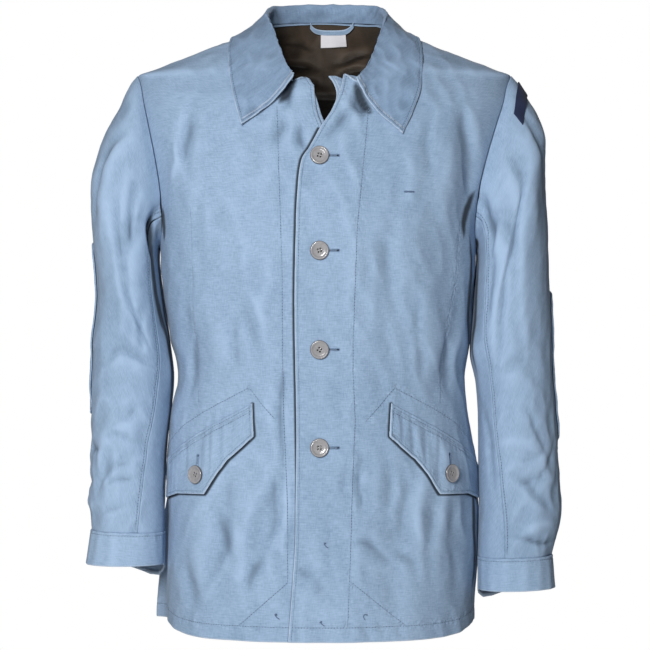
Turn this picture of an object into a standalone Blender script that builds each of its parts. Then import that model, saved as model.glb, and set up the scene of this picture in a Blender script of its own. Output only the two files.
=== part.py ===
"""Civil defence jacket, filled out as if worn, with no wearer. Metres, +Z up, the front faces -Y.

The body is one form: a rounded section at each height. The fronts, the back and the lining are
stretches of that form, and every flap, patch and button that lies on a panel is made from the
panel's own points, moved out along the cloth. Left and right are the wearer's.
"""

import math

import bpy
import numpy as np
from mathutils import Vector

# Cloth
CLOTH = 0.0015
COLLAR_CLOTH = 0.0020
SEAM_GAP = 0.0004
LAYER = CLOTH + SEAM_GAP

# Body
HEM = -0.7405
HEM_RISE = 0.012
UNDERARM = -0.262
SHOULDER_TIP = -0.049
NECK_POINT = 0.012
ARMHOLE_FRONT = 0.066
ARMHOLE_BACK = 0.072
ARMHOLE_TAPER = 0.32
PLACKET_FULL = 0.034
PLACKET_END = 0.060
EDGE_SHARE = 0.62
SHOULDER_SHARE = 0.28
BACK_NECK_START = 0.34
FOLD_FADE = 0.03
RIDGE_FADE = 0.06

# Buttons
BUTTON_RADIUS = 0.0115
BUTTON_THICK = 0.0036
CUFF_BUTTON_RADIUS = 0.0075
BUTTON_STEPS = 16
BUTTON_STAND = 0.0004

# Colours, as linear red, green, blue
BLUE_COTTON = (0.335, 0.445, 0.610)
BROWN_LINING = (0.045, 0.036, 0.028)
NAVY_CLOTH = (0.020, 0.030, 0.075)
PALE_TAPE = (0.62, 0.60, 0.58)
GREY_PLASTIC = (0.33, 0.33, 0.35)

# The body's section at each height: half width on each side, depth of front and back, roundness.
BODY = (
    ("height", "right", "left", "front", "back", "round"),
    (-0.742, 0.1935, 0.1895, 0.1440, 0.1450, 2.20),
    (-0.670, 0.1940, 0.1905, 0.1430, 0.1420, 2.15),
    (-0.600, 0.1925, 0.1925, 0.1420, 0.1380, 2.10),
    (-0.540, 0.1920, 0.1930, 0.1400, 0.1320, 2.10),
    (-0.480, 0.1870, 0.1840, 0.1360, 0.1230, 2.15),
    (-0.424, 0.1790, 0.1785, 0.1330, 0.1140, 2.20),
    (-0.380, 0.1865, 0.1830, 0.1340, 0.1130, 2.25),
    (-0.323, 0.1945, 0.1860, 0.1380, 0.1180, 2.30),
    (-0.262, 0.1990, 0.1900, 0.1400, 0.1240, 2.30),
    (-0.200, 0.2090, 0.2030, 0.1370, 0.1270, 2.30),
    (-0.150, 0.2210, 0.2190, 0.1290, 0.1260, 2.25),
    (-0.110, 0.2290, 0.2310, 0.1180, 0.1200, 2.20),
    (-0.080, 0.2325, 0.2375, 0.1060, 0.1130, 2.10),
    (-0.049, 0.2300, 0.2366, 0.0850, 0.1030, 2.00),
    (-0.042, 0.2122, 0.2190, 0.0795, 0.1005, 2.00),
    (-0.015, 0.1436, 0.1510, 0.0560, 0.0920, 2.00),
    (0.012, 0.0750, 0.0830, 0.0330, 0.0820, 2.00),
    (0.028, 0.0640, 0.0720, 0.0250, 0.0760, 2.00),
)

# Front edges: how far each front reaches across the middle at each height.
EDGES = (
    ("height", "left", "right"),
    (-0.742, -0.0395, 0.0250),
    (-0.690, -0.0355, 0.0255),
    (-0.620, -0.0310, 0.0260),
    (-0.500, -0.0295, 0.0260),
    (-0.340, -0.0317, 0.0260),
    (-0.228, -0.0297, 0.0250),
    (-0.188, -0.0273, 0.0210),
    (-0.163, -0.0237, 0.0150),
    (-0.144, -0.0122, 0.0080),
    (-0.121, 0.0004, 0.0000),
    (-0.100, 0.0135, -0.0070),
    (-0.0755, 0.0233, -0.0095),
    (-0.056, 0.0272, -0.0100),
)
CORNER_LEFT = -0.0560
CORNER_RIGHT = -0.0700

# Neck seam of each front, from the front corner to the shoulder seam.
NECK_LEFT = (
    ("share", "x", "height"),
    (0.00, 0.0272, -0.0560),
    (0.18, 0.0434, -0.0665),
    (0.42, 0.0610, -0.0460),
    (0.70, 0.0745, -0.0170),
    (1.00, 0.0830, 0.0120),
)
NECK_RIGHT = (
    ("share", "x", "height"),
    (0.00, -0.0100, -0.0700),
    (0.08, -0.0190, -0.0590),
    (0.22, -0.0360, -0.0640),
    (0.46, -0.0540, -0.0430),
    (0.72, -0.0668, -0.0150),
    (1.00, -0.0750, 0.0120),
)
NECK_BACK = (
    ("share", "turn", "height"),
    (0.00, 180.0, 0.0120),
    (0.25, 146.0, 0.0215),
    (0.50, 90.0, 0.0280),
    (0.75, 34.0, 0.0215),
    (1.00, 0.0, 0.0120),
)

# Largest folds: from top to low end on the panel, how far out (or in), and how wide.
FRONT_FOLDS = (
    ("x_top", "z_top", "x_low", "z_low", "lift", "width"),
    (0.176, -0.095, 0.183, -0.215, -0.0060, 0.013),
    (0.150, -0.110, 0.158, -0.260, 0.0040, 0.016),
    (-0.170, -0.095, -0.168, -0.190, -0.0050, 0.013),
    (-0.150, -0.110, -0.152, -0.300, 0.0030, 0.018),
    (0.140, -0.300, 0.128, -0.450, 0.0035, 0.020),
    (-0.140, -0.300, -0.132, -0.450, 0.0035, 0.020),
    (0.138, -0.480, 0.142, -0.700, 0.0050, 0.024),
    (-0.138, -0.480, -0.140, -0.700, 0.0050, 0.024),
    (-0.062, -0.540, -0.088, -0.700, -0.0035, 0.018),
    (0.100, -0.560, 0.078, -0.736, -0.0030, 0.020),
)
BACK_FOLDS = (
    ("x_top", "z_top", "x_low", "z_low", "lift", "width"),
    (0.158, -0.150, 0.168, -0.270, -0.0050, 0.018),
    (-0.158, -0.150, -0.166, -0.270, -0.0050, 0.018),
    (0.120, -0.150, 0.110, -0.340, 0.0045, 0.024),
    (-0.120, -0.150, -0.112, -0.350, 0.0045, 0.024),
    (0.045, -0.330, 0.060, -0.560, -0.0040, 0.026),
    (-0.050, -0.340, -0.066, -0.580, -0.0040, 0.026),
    (-0.176, -0.560, -0.196, -0.820, 0.0200, 0.030),
    (0.150, -0.560, 0.162, -0.730, 0.0050, 0.028),
    (0.000, -0.560, 0.004, -0.738, 0.0050, 0.034),
)

# Sleeves: the inner and outer line, the depth to the front and back, and the middle, as far down as "along".
SLEEVE_RIGHT = (
    ("along", "inner_x", "inner_z", "outer_x", "outer_z", "deep", "middle"),
    (0.00, -0.1990, -0.2620, -0.2300, -0.0490, 0.0620, 0.003),
    (0.04, -0.2035, -0.2665, -0.2385, -0.0595, 0.0690, 0.002),
    (0.10, -0.2045, -0.2800, -0.2525, -0.0865, 0.0750, 0.001),
    (0.17, -0.2025, -0.3020, -0.2680, -0.1160, 0.0790, 0.000),
    (0.25, -0.1990, -0.3280, -0.2810, -0.1490, 0.0800, -0.001),
    (0.34, -0.1950, -0.3550, -0.2895, -0.1900, 0.0790, -0.002),
    (0.45, -0.1900, -0.3880, -0.2865, -0.2560, 0.0745, -0.004),
    (0.55, -0.1860, -0.4250, -0.2810, -0.3180, 0.0690, -0.006),
    (0.66, -0.1880, -0.4630, -0.2855, -0.3900, 0.0640, -0.010),
    (0.78, -0.1940, -0.5200, -0.2870, -0.4730, 0.0580, -0.017),
    (0.90, -0.1958, -0.5750, -0.2885, -0.5530, 0.0520, -0.024),
    (1.00, -0.1962, -0.6170, -0.2850, -0.6145, 0.0470, -0.030),
)
SLEEVE_LEFT = (
    ("along", "inner_x", "inner_z", "outer_x", "outer_z", "deep", "middle"),
    (0.00, 0.1900, -0.2620, 0.2366, -0.0490, 0.0620, 0.003),
    (0.04, 0.1940, -0.2670, 0.2450, -0.0590, 0.0680, 0.002),
    (0.10, 0.1945, -0.2810, 0.2565, -0.0760, 0.0730, 0.001),
    (0.17, 0.1925, -0.3030, 0.2700, -0.0985, 0.0770, 0.000),
    (0.25, 0.1900, -0.3300, 0.2795, -0.1290, 0.0790, -0.001),
    (0.34, 0.1885, -0.3580, 0.2795, -0.1750, 0.0790, -0.002),
    (0.45, 0.1865, -0.3960, 0.2825, -0.2430, 0.0750, -0.004),
    (0.55, 0.1935, -0.4330, 0.2850, -0.3250, 0.0700, -0.006),
    (0.66, 0.1965, -0.4780, 0.2875, -0.4100, 0.0650, -0.010),
    (0.78, 0.1965, -0.5300, 0.2925, -0.5000, 0.0590, -0.017),
    (0.90, 0.1960, -0.6000, 0.2970, -0.5850, 0.0530, -0.024),
    (1.00, 0.1950, -0.6480, 0.2845, -0.6455, 0.0480, -0.030),
)
# The front seam swings forward towards the cuff.
SLEEVE_SEAMS = (
    ("along", "front", "back"),
    (0.00, 48.0, 292.0),
    (0.50, 46.0, 292.0),
    (0.66, 49.0, 290.0),
    (0.80, 58.0, 286.0),
    (1.00, 72.0, 280.0),
)
# Sleeve folds: from one end to the other on the sleeve, how far out (or in), and how wide.
SLEEVE_FOLDS = (
    ("phase_top", "along_top", "phase_low", "along_low", "lift", "width"),
    (70.0, 0.10, 96.0, 0.46, -0.0045, 0.012),
    (118.0, 0.08, 132.0, 0.42, 0.0030, 0.014),
    (60.0, 0.56, 128.0, 0.66, -0.0035, 0.013),
    (78.0, 0.74, 150.0, 0.90, 0.0030, 0.015),
    (250.0, 0.10, 236.0, 0.44, -0.0040, 0.014),
    (262.0, 0.62, 200.0, 0.52, -0.0030, 0.014),
)
SLEEVE_ROUND = 0.055
SLEEVE_LONG = 0.58
SLEEVE_SQUARE = 2.15
HEAD_BLEND = 0.22
CUFF_SEAM_FLAT = 0.05
SEAM_HALF_TURN = 0.50

# Cuffs: the same lines for the two edges of the band, and how far its inner back hangs lower.
CUFF_RIGHT = (
    ("along", "inner_x", "inner_z", "outer_x", "outer_z", "deep", "middle"),
    (0.00, -0.1962, -0.6174, -0.2850, -0.6149, 0.0470, -0.030),
    (1.00, -0.1965, -0.6560, -0.2910, -0.6560, 0.0475, -0.033),
)
CUFF_LEFT = (
    ("along", "inner_x", "inner_z", "outer_x", "outer_z", "deep", "middle"),
    (0.00, 0.1950, -0.6484, 0.2845, -0.6459, 0.0480, -0.030),
    (1.00, 0.1950, -0.6880, 0.2880, -0.6850, 0.0480, -0.033),
)
CUFF_START = 232.0
CUFF_SWEEP = 384.0
CUFF_OVERLAP_LIFT = LAYER * 1.08
CUFF_BUTTON_TURN = 12.0
CUFF_BACK_DROP = {1: 0.0100, -1: 0.0150}

# Collar: where the roll and the leaf's edge lie at each station of the neck seam, right end to left end.
COLLAR = (
    ("seam", "roll_x", "roll_y", "roll_z", "edge_x", "edge_y", "edge_z"),
    (0.000, -0.0353, -0.1030, -0.0590, -0.0970, -0.118, -0.1180),
    (0.090, -0.0440, -0.0860, -0.0440, -0.1050, -0.108, -0.0900),
    (0.180, -0.0520, -0.0600, -0.0210, -0.1110, -0.080, -0.0600),
    (0.270, -0.0610, -0.0300, 0.0070, -0.1125, -0.042, -0.0330),
    (0.340, -0.0665, 0.0020, 0.0270, -0.1075, 0.000, -0.0040),
    (0.420, -0.0590, 0.0500, 0.0425, -0.0860, 0.070, 0.0040),
    (0.500, 0.0050, 0.0800, 0.0490, 0.0050, 0.101, 0.0060),
    (0.580, 0.0700, 0.0480, 0.0415, 0.0940, 0.070, 0.0040),
    (0.660, 0.0780, 0.0020, 0.0260, 0.1165, 0.000, -0.0030),
    (0.730, 0.0735, -0.0300, 0.0040, 0.1215, -0.042, -0.0290),
    (0.820, 0.0645, -0.0600, -0.0260, 0.1200, -0.080, -0.0680),
    (0.910, 0.0540, -0.0860, -0.0500, 0.1100, -0.108, -0.1020),
    (1.000, 0.0434, -0.1040, -0.0640, 0.0975, -0.118, -0.1290),
)
ROLL_RADIUS = 0.0034
LEAF_CLEARANCE = 0.0032
LEAF_BULGE = 0.002
COLLAR_SEAM_LIFT = 0.0022

# Pocket flap: depth below its seam at each place along it, as the cut lies flat.
FLAP = (
    ("along", "deep"),
    (0.000, 0.0365),
    (0.022, 0.0425),
    (0.046, 0.0475),
    (0.070, 0.0580),
    (0.100, 0.0725),
    (0.130, 0.0580),
    (0.154, 0.0475),
    (0.178, 0.0425),
    (0.200, 0.0365),
)
FLAP_START = 0.0870
FLAP_TOP = -0.4560
FLAP_SLOPE = 26.5
FLAP_END_LEAN = 0.014
FLAP_LEVEL = -0.500
FLAP_STAND = 0.0008

# Facings: how high and low they show, how far past the front's edge, and how wide they are.
FACING_LEFT_TOP = -0.0570
FACING_LEFT_END = -0.1140
FACING_LEFT_TIP = 0.0185
FACING_LEFT_WIDTH = 0.040
FACING_RIGHT_TOP = -0.0730
FACING_RIGHT_END = -0.1500
FACING_RIGHT_SHOW = 0.0060
FACING_RIGHT_WIDTH = 0.040
FACING_INSIDE = LAYER + 0.0012

# The lining takes the back's own points, from this row and column on.
LINING_FIRST_ROW = 16
LINING_FIRST_COLUMN = 6

# Hanger loop and label, inside the back of the neck
LOOP_LEFT, LOOP_RIGHT = 0.0440, -0.0165
LOOP_WIDTH = 0.0055
LOOP_SAG = 0.0030
LOOP_TOP = 0.0255
LOOP_INSIDE = 2 * LAYER + 0.0020
LOOP_THICK = 0.0012
LABEL_LEFT, LABEL_RIGHT = 0.0335, -0.0015
LABEL_TOP, LABEL_LOW = 0.0145, -0.0015
LABEL_SLANT = 0.06
LABEL_INSIDE = 2 * LAYER + 0.0016
LABEL_THICK = 0.0010

# Elbow patches: from how far down the sleeve to how far, and round which phase of it.
PATCHES = {1: (0.54, 0.79), -1: (0.45, 0.78)}
PATCH_MIDDLE = 214.0
PATCH_HALF_TURN = 46.0
PATCH_LIFT = LAYER + 2.6 * SEAM_GAP

# Cloth title on the left sleeve head
TITLE_FRONT, TITLE_BACK = 128.0, 232.0
TITLE_TOP, TITLE_LOW = 0.020, 0.115

FRONT_BUTTON_X = -0.0025
FRONT_BUTTONS = (-0.1580, -0.2715, -0.3905, -0.5085)
POCKET_BUTTONS = (("right", -0.1480, -0.5430), ("left", 0.1510, -0.5415))


def column(rows, name):
    """One named column of a table, as an array."""
    place = rows[0].index(name)
    return np.array([row[place] for row in rows[1:]], float)


def smooth(at, places, values):
    """A smooth curve through the values that never swings past them, held level past the ends."""
    at = np.clip(at, places[0], places[-1])
    step = np.diff(places)
    rise = np.diff(values) / step
    before, after = rise[:-1], rise[1:]
    same = before * after > 0
    slope = np.concatenate([rise[:1], np.zeros(len(rise) - 1), rise[-1:]])
    slope[1:-1][same] = (2 * before * after)[same] / (before + after)[same]
    low = np.clip(np.searchsorted(places, at, side="right") - 1, 0, len(step) - 1)
    t = (at - places[low]) / step[low]
    start = values[low] * (2 * t**3 - 3 * t**2 + 1) + slope[low] * step[low] * (t**3 - 2 * t**2 + t)
    end = values[low + 1] * (3 * t**2 - 2 * t**3) + slope[low + 1] * step[low] * (t**3 - t**2)
    return start + end


def read(rows, name, at, by):
    """A table's column at these places of another column."""
    return smooth(np.asarray(at, float), column(rows, by), column(rows, name))


def body_sizes(turn, height):
    """Half width, depth and roundness of the body on the side that a turn faces."""
    right, left, front, back, rounding = (
        read(BODY, name, height, "height") for name in ("right", "left", "front", "back", "round")
    )
    half = np.where(np.abs(turn) > 90, right, left)
    deep = np.where(turn > 0, back, front)
    return half, deep, rounding


def body_point(turn, height):
    """A point of the body's form. The turn is 0 at the left side, -90 in front and 90 at the back."""
    turn, height = np.broadcast_arrays(np.asarray(turn, float), np.asarray(height, float))
    half, deep, rounding = body_sizes(turn, height)
    across, along = np.cos(np.radians(turn)), np.sin(np.radians(turn))
    x = half * np.sign(across) * np.abs(across) ** (2 / rounding)
    y = deep * np.sign(along) * np.abs(along) ** (2 / rounding)
    return np.stack([x, y, height], axis=-1)


def unit(vectors):
    return vectors / np.maximum(np.linalg.norm(vectors, axis=-1, keepdims=True), 1e-12)


def body_normal(turn, height):
    """The direction that the body's form faces there."""
    turn_step, height_step = 0.8, 0.002
    around = body_point(turn + turn_step, height) - body_point(turn - turn_step, height)
    upward = body_point(turn, height + height_step) - body_point(turn, height - height_step)
    return unit(np.cross(around, upward))


def turn_at(x, height, face):
    """The turn at which the form has this x. The face is -1 in front and 1 at the back."""
    x, height = np.broadcast_arrays(np.asarray(x, float), np.asarray(height, float))
    half, _, rounding = body_sizes(np.where(x < 0, 180.0, 0.0), height)
    share = np.clip(np.abs(x) / half, 0, 1) ** (rounding / 2)
    return face * np.degrees(np.arccos(np.sign(x) * share))


def turn_at_depth(depth, height, side, face):
    """The turn at which the form is this deep in front of, or behind, its side line."""
    depth, height = np.broadcast_arrays(np.asarray(depth, float), np.asarray(height, float))
    _, deep, rounding = body_sizes(np.full(height.shape, 90.0 * face), height)
    share = np.clip(np.abs(depth) / deep, 0, 1) ** (rounding / 2)
    turn = np.degrees(np.arcsin(share))
    return face * np.where(side > 0, turn, 180 - turn)


def folds_lift(rows, x, z, scale=(1.0, 1.0)):
    """How far the folds move the cloth out: each is a soft ridge or trough that fades at both ends."""
    lift = np.zeros(np.shape(x))
    for x_top, z_top, x_low, z_low, out, width in rows[1:]:
        run_x, run_z = (x_low - x_top) * scale[0], (z_low - z_top) * scale[1]
        from_x, from_z = (x - x_top) * scale[0], (z - z_top) * scale[1]
        length = math.hypot(run_x, run_z)
        share = (from_x * run_x + from_z * run_z) / length**2
        aside = (from_x * run_z - from_z * run_x) / length
        fade = np.exp(-((2 * share - 1) ** 4))
        lift = lift + out * fade * np.exp(-((aside / width) ** 2))
    return lift


def panel_point(turn, height, lift=0.0):
    """A point of the body's cloth with its folds, moved out by lift."""
    turn, height = np.broadcast_arrays(np.asarray(turn, float), np.asarray(height, float))
    base = body_point(turn, height)
    front = folds_lift(FRONT_FOLDS, base[..., 0], base[..., 2])
    back = folds_lift(BACK_FOLDS, base[..., 0], base[..., 2])
    side_fade = np.clip(np.abs(base[..., 1]) / FOLD_FADE, 0, 1) ** 2
    ridge_fade = np.clip((SHOULDER_TIP - height) / RIDGE_FADE, 0, 1)
    folds = np.where(turn < 0, front, back) * side_fade * ridge_fade
    return base + (folds + lift)[..., None] * body_normal(turn, height)


def seam_turn(height, side, face):
    """The turn of a side or shoulder seam, half a gap away from its line."""
    return turn_at_depth(SEAM_GAP * 0.7, height, side, face)


def armhole(phase, side, face):
    """The armhole from the underarm (0) to the shoulder tip (1), as turn and height."""
    angle = np.pi * np.asarray(phase, float)
    middle, reach = (SHOULDER_TIP + UNDERARM) / 2, (SHOULDER_TIP - UNDERARM) / 2
    height = middle - reach * np.cos(angle)
    deep = ARMHOLE_BACK if face > 0 else ARMHOLE_FRONT
    depth = np.maximum(deep * np.sin(angle) * (1 - ARMHOLE_TAPER * np.asarray(phase)), SEAM_GAP / 2)
    return turn_at_depth(depth, height, side, face), height


def front_edge_turn(height, side):
    name = "left" if side > 0 else "right"
    return turn_at(read(EDGES, name, height, "height"), height, -1)


def front_inner(share, side):
    """The inner boundary of a front above the underarm: up its edge, then round the neck."""
    rows, corner = (NECK_LEFT, CORNER_LEFT) if side > 0 else (NECK_RIGHT, CORNER_RIGHT)
    edge_height = UNDERARM + (corner - UNDERARM) * np.clip(share / EDGE_SHARE, 0, 1)
    edge = front_edge_turn(edge_height, side)
    along = np.clip((share - EDGE_SHARE) / (1 - EDGE_SHARE), 0, 1)
    neck_x, neck_height = read(rows, "x", along, "share"), read(rows, "height", along, "share")
    neck = turn_at(neck_x, neck_height, -1)
    neck = np.where(along >= 1, seam_turn(neck_height, side, -1), neck)
    on_edge = share <= EDGE_SHARE
    return np.where(on_edge, edge, neck), np.where(on_edge, edge_height, neck_height)


def blend_sides(bottom, top, start, end, u, v):
    """Fills the inside of four boundary lines, so that all four are kept."""
    ruled = (1 - v) * bottom + v * top + (1 - u) * start + u * end
    corners = (1 - u) * (1 - v) * bottom[:, :1] + u * (1 - v) * bottom[:, -1:]
    corners = corners + (1 - u) * v * top[:, :1] + u * v * top[:, -1:]
    return ruled - corners


def hem_rise(turn, height):
    """The hem curves up towards the side seams, and the rows above it follow less and less."""
    near_side = np.abs(np.cos(np.radians(turn))) ** 10
    near_hem = np.clip((UNDERARM - height) / (UNDERARM - HEM), 0, 1) ** 3
    return HEM_RISE * near_side * near_hem


def front_grid(side, columns, low_rows, high_rows):
    """Turns and heights of a front, from its edge to its side seam, and from hem to shoulder."""
    u = np.linspace(0, 1, columns)[None, :]
    heights = np.linspace(HEM, UNDERARM, low_rows)[:, None]
    low_turn = (1 - u) * front_edge_turn(heights, side) + u * seam_turn(heights, side, -1)
    low_height = heights + hem_rise(low_turn, heights)

    v = np.linspace(0, 1, high_rows)[:, None]
    start_turn, start_height = front_inner(v, side)
    end_turn, end_height = armhole(v, side, -1)
    top_height = start_height[-1, 0] + (SHOULDER_TIP - start_height[-1, 0]) * u
    top_turn = seam_turn(top_height, side, -1)
    high_turn = blend_sides(low_turn[-1:], top_turn, start_turn, end_turn, u, v)
    high_height = blend_sides(low_height[-1:], top_height, start_height, end_height, u, v)
    turn = np.concatenate([low_turn, high_turn[1:]])
    height = np.concatenate([low_height, high_height[1:]])
    return turn, height


def placket_lift(x):
    """The left front lies one layer out where it laps over the right."""
    share = np.clip((PLACKET_END - x) / (PLACKET_END - PLACKET_FULL), 0, 1)
    return (LAYER + SEAM_GAP) * share * share * (3 - 2 * share)


def front_surface(side, columns, low_rows, high_rows):
    turn, height = front_grid(side, columns, low_rows, high_rows)
    x = body_point(turn, height)[..., 0]
    lift = placket_lift(x) if side > 0 else 0.0 * x
    return panel_point(turn, height, lift)


def back_grid(columns, low_rows, high_rows):
    """Turns and heights of the back, from the right side seam to the left, and from hem to neck."""
    u = np.linspace(0, 1, columns)[None, :]
    heights = np.linspace(HEM, UNDERARM, low_rows)[:, None]
    low_turn = (1 - u) * seam_turn(heights, -1, 1) + u * seam_turn(heights, 1, 1)
    low_height = heights + hem_rise(low_turn, heights)

    v = np.linspace(0, 1, high_rows)[:, None]
    start_turn, start_height = armhole(v, -1, 1)
    end_turn, end_height = armhole(v, 1, 1)
    along = np.clip((u - SHOULDER_SHARE) / (1 - 2 * SHOULDER_SHARE), 0, 1)
    to_neck = np.clip(np.minimum(u, 1 - u) / SHOULDER_SHARE, 0, 1)
    ridge_height = SHOULDER_TIP + (NECK_POINT - SHOULDER_TIP) * to_neck
    neck_turn = read(NECK_BACK, "turn", along, "share")
    neck_height = read(NECK_BACK, "height", along, "share")
    ridge_turn = np.where(u < 0.5, seam_turn(ridge_height, -1, 1), seam_turn(ridge_height, 1, 1))
    on_ridge = to_neck < 1 - 1e-9
    top_turn = np.where(on_ridge, ridge_turn, np.clip(neck_turn, ridge_turn[0, -1], ridge_turn[0, 0]))
    top_height = np.where(on_ridge, ridge_height, neck_height)
    high_turn = blend_sides(low_turn[-1:], top_turn, start_turn, end_turn, u, v)
    high_height = blend_sides(low_height[-1:], top_height, start_height, end_height, u, v)
    turn = np.concatenate([low_turn, high_turn[1:]])
    height = np.concatenate([low_height, high_height[1:]])
    return turn, height


def sleeve_loop(rows, side, phase, along):
    """A point round a sleeve: phase 0 inner, 90 front, 180 outer, 270 back."""
    angle = np.radians(phase)
    inner = np.stack([read(rows, "inner_x", along, "along"), read(rows, "inner_z", along, "along")], -1)
    outer = np.stack([read(rows, "outer_x", along, "along"), read(rows, "outer_z", along, "along")], -1)
    deep, middle = read(rows, "deep", along, "along"), read(rows, "middle", along, "along")
    across, forward = np.cos(angle), np.sin(angle)
    across = np.sign(across) * np.abs(across) ** (2 / SLEEVE_SQUARE)
    forward = np.sign(forward) * np.abs(forward) ** (2 / SLEEVE_SQUARE)
    line = (inner + outer) / 2 + (inner - outer) / 2 * across[..., None]
    return np.stack([line[..., 0], middle - deep * forward, line[..., 1]], -1)


def armhole_loop(side, phase):
    """The armhole's own points round the same phase, moved out of the body by a seam."""
    phase = np.asarray(phase, float) % 360
    in_front = phase <= 180
    share = np.where(in_front, phase, 360 - phase) / 180
    front_turn, height = armhole(share, side, -1)
    back_turn, _ = armhole(share, side, 1)
    turn = np.where(in_front, front_turn, back_turn)
    point, normal = body_point(turn, height), body_normal(turn, height)
    middle = np.array([side * 0.21, 0.0, (SHOULDER_TIP + UNDERARM) / 2])
    inward = middle - point
    inward = unit(inward - (inward * normal).sum(-1, keepdims=True) * normal)
    return point + normal * (LAYER * 0.75) + inward * SEAM_GAP * 1.5


def sleeve_point(side, phase, along, lift=0.0):
    """A point of a sleeve's cloth, moved out by lift."""
    rows = SLEEVE_LEFT if side > 0 else SLEEVE_RIGHT
    phase, along = np.broadcast_arrays(np.asarray(phase, float), np.asarray(along, float))

    def plain(phase, along):
        loop = sleeve_loop(rows, side, phase, along)
        first = armhole_loop(side, phase) - sleeve_loop(rows, side, phase, 0 * along)
        hold = np.clip(1 - along / HEAD_BLEND, 0, 1) ** 2
        return loop + first * hold[..., None]

    point = plain(phase, along)
    around = plain(phase + 1.0, along) - plain(phase - 1.0, along)
    nudge = 0.004
    down = plain(phase, np.minimum(along + nudge, 1)) - plain(phase, np.maximum(along - nudge, 0))
    normal = unit(np.cross(down, around)) * side
    folds = folds_lift(SLEEVE_FOLDS, phase, along, (SLEEVE_ROUND * np.pi / 180, SLEEVE_LONG))
    folds = folds * np.clip((1 - along) / CUFF_SEAM_FLAT, 0, 1)
    return point + normal * (folds + lift)[..., None]


def cuff_point(side, phase, along, lift=0.0):
    rows = CUFF_LEFT if side > 0 else CUFF_RIGHT
    phase, along = np.broadcast_arrays(np.asarray(phase, float), np.asarray(along, float))
    point = sleeve_loop(rows, side, phase, along)
    around = sleeve_loop(rows, side, phase + 1.0, along) - sleeve_loop(rows, side, phase - 1.0, along)
    down = np.zeros_like(around)
    down[..., 2] = -1.0
    normal = unit(np.cross(down, around)) * side
    drop = CUFF_BACK_DROP[side] * along * (0.5 - 0.5 * np.sin(np.radians(phase - 45)))
    point = point + normal * np.asarray(lift)[..., None]
    point[..., 2] -= drop
    return point


def through(points, count):
    """A smooth curve through a few points, sampled evenly in its own steps."""
    points = np.concatenate([2 * points[:1] - points[1:2], points, 2 * points[-1:] - points[-2:-1]])
    spans = len(points) - 3
    at = np.linspace(0, spans, count)
    low = np.minimum(at.astype(int), spans - 1)
    t = (at - low).reshape((-1,) + (1,) * (points.ndim - 1))
    a, b, c, d = (points[low + k] for k in range(4))
    return 0.5 * (2 * b + (c - a) * t + (2 * a - 5 * b + 4 * c - d) * t**2 + (3 * b - a - 3 * c + d) * t**3)


def outside_measure(points):
    """How far outside the body's form a point lies, as a share of its size."""
    half = np.where(
        points[..., 0] < 0,
        read(BODY, "right", points[..., 2], "height"),
        read(BODY, "left", points[..., 2], "height"),
    )
    deep = np.where(
        points[..., 1] > 0,
        read(BODY, "back", points[..., 2], "height"),
        read(BODY, "front", points[..., 2], "height"),
    )
    rounding = read(BODY, "round", points[..., 2], "height")
    sum_of_shares = np.abs(points[..., 0] / half) ** rounding + np.abs(points[..., 1] / deep) ** rounding
    return sum_of_shares ** (1 / rounding) - 1


def keep_outside(points, clearance):
    """Moves points straight out of the body until they clear it."""
    nudge = 0.0005
    points = points.copy()
    for _ in range(8):
        slope = np.stack(
            [
                outside_measure(points + nudge * axis) - outside_measure(points - nudge * axis)
                for axis in np.eye(3)
            ],
            -1,
        ) / (2 * nudge)
        steep = np.maximum(np.linalg.norm(slope, axis=-1), 1e-6)
        away = outside_measure(points) / steep
        push = np.clip(clearance - away, 0, 0.01)
        points += slope / steep[..., None] * push[..., None]
    return points


def neck_seam(share):
    """The collar's seam from its right end, round the back, to its left end, as turn and height."""
    share = np.asarray(share, float)
    back_end = 1 - BACK_NECK_START
    first, last = column(NECK_RIGHT, "share")[2], column(NECK_LEFT, "share")[1]
    right = first + (1 - first) * np.clip(share / BACK_NECK_START, 0, 1)
    left = last + (1 - last) * np.clip((1 - share) / BACK_NECK_START, 0, 1)
    back = np.clip((share - BACK_NECK_START) / (back_end - BACK_NECK_START), 0, 1)
    right_height = read(NECK_RIGHT, "height", right, "share")
    left_height = read(NECK_LEFT, "height", left, "share")
    right_turn = turn_at(read(NECK_RIGHT, "x", right, "share"), right_height, -1)
    left_turn = turn_at(read(NECK_LEFT, "x", left, "share"), left_height, -1)
    back_turn = read(NECK_BACK, "turn", back, "share")
    back_height = read(NECK_BACK, "height", back, "share")
    on_right, on_left = share < BACK_NECK_START, share > back_end
    turn = np.where(on_right, right_turn, np.where(on_left, left_turn, back_turn))
    height = np.where(on_right, right_height, np.where(on_left, left_height, back_height))
    return turn, height


def collar_surface(stations, across):
    """The collar: up from the neck seam, over the roll and down to the edge of the leaf."""
    share = np.linspace(0, 1, stations)
    turn, height = neck_seam(share)
    normal = body_normal(turn, height)
    seam = body_point(turn, height) + normal * COLLAR_SEAM_LIFT
    roll = np.stack([read(COLLAR, name, share, "seam") for name in ("roll_x", "roll_y", "roll_z")], -1)
    edge = np.stack([read(COLLAR, name, share, "seam") for name in ("edge_x", "edge_y", "edge_z")], -1)
    out = normal * np.array([1.0, 1.0, 0.0])
    out = unit(out)
    up = np.array([0.0, 0.0, 1.0])
    over = roll + out * ROLL_RADIUS + up * ROLL_RADIUS * 0.9
    outer = roll + out * ROLL_RADIUS * 2 - up * ROLL_RADIUS * 0.6
    middle = keep_outside(0.55 * outer + 0.45 * edge, LEAF_CLEARANCE + LEAF_BULGE)
    edge = keep_outside(edge, LEAF_CLEARANCE)
    rib = np.stack([seam, 0.5 * (seam + roll), roll, over, outer, middle, edge])
    surface = through(rib, across)
    return np.swapaxes(surface, 0, 1)


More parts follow.
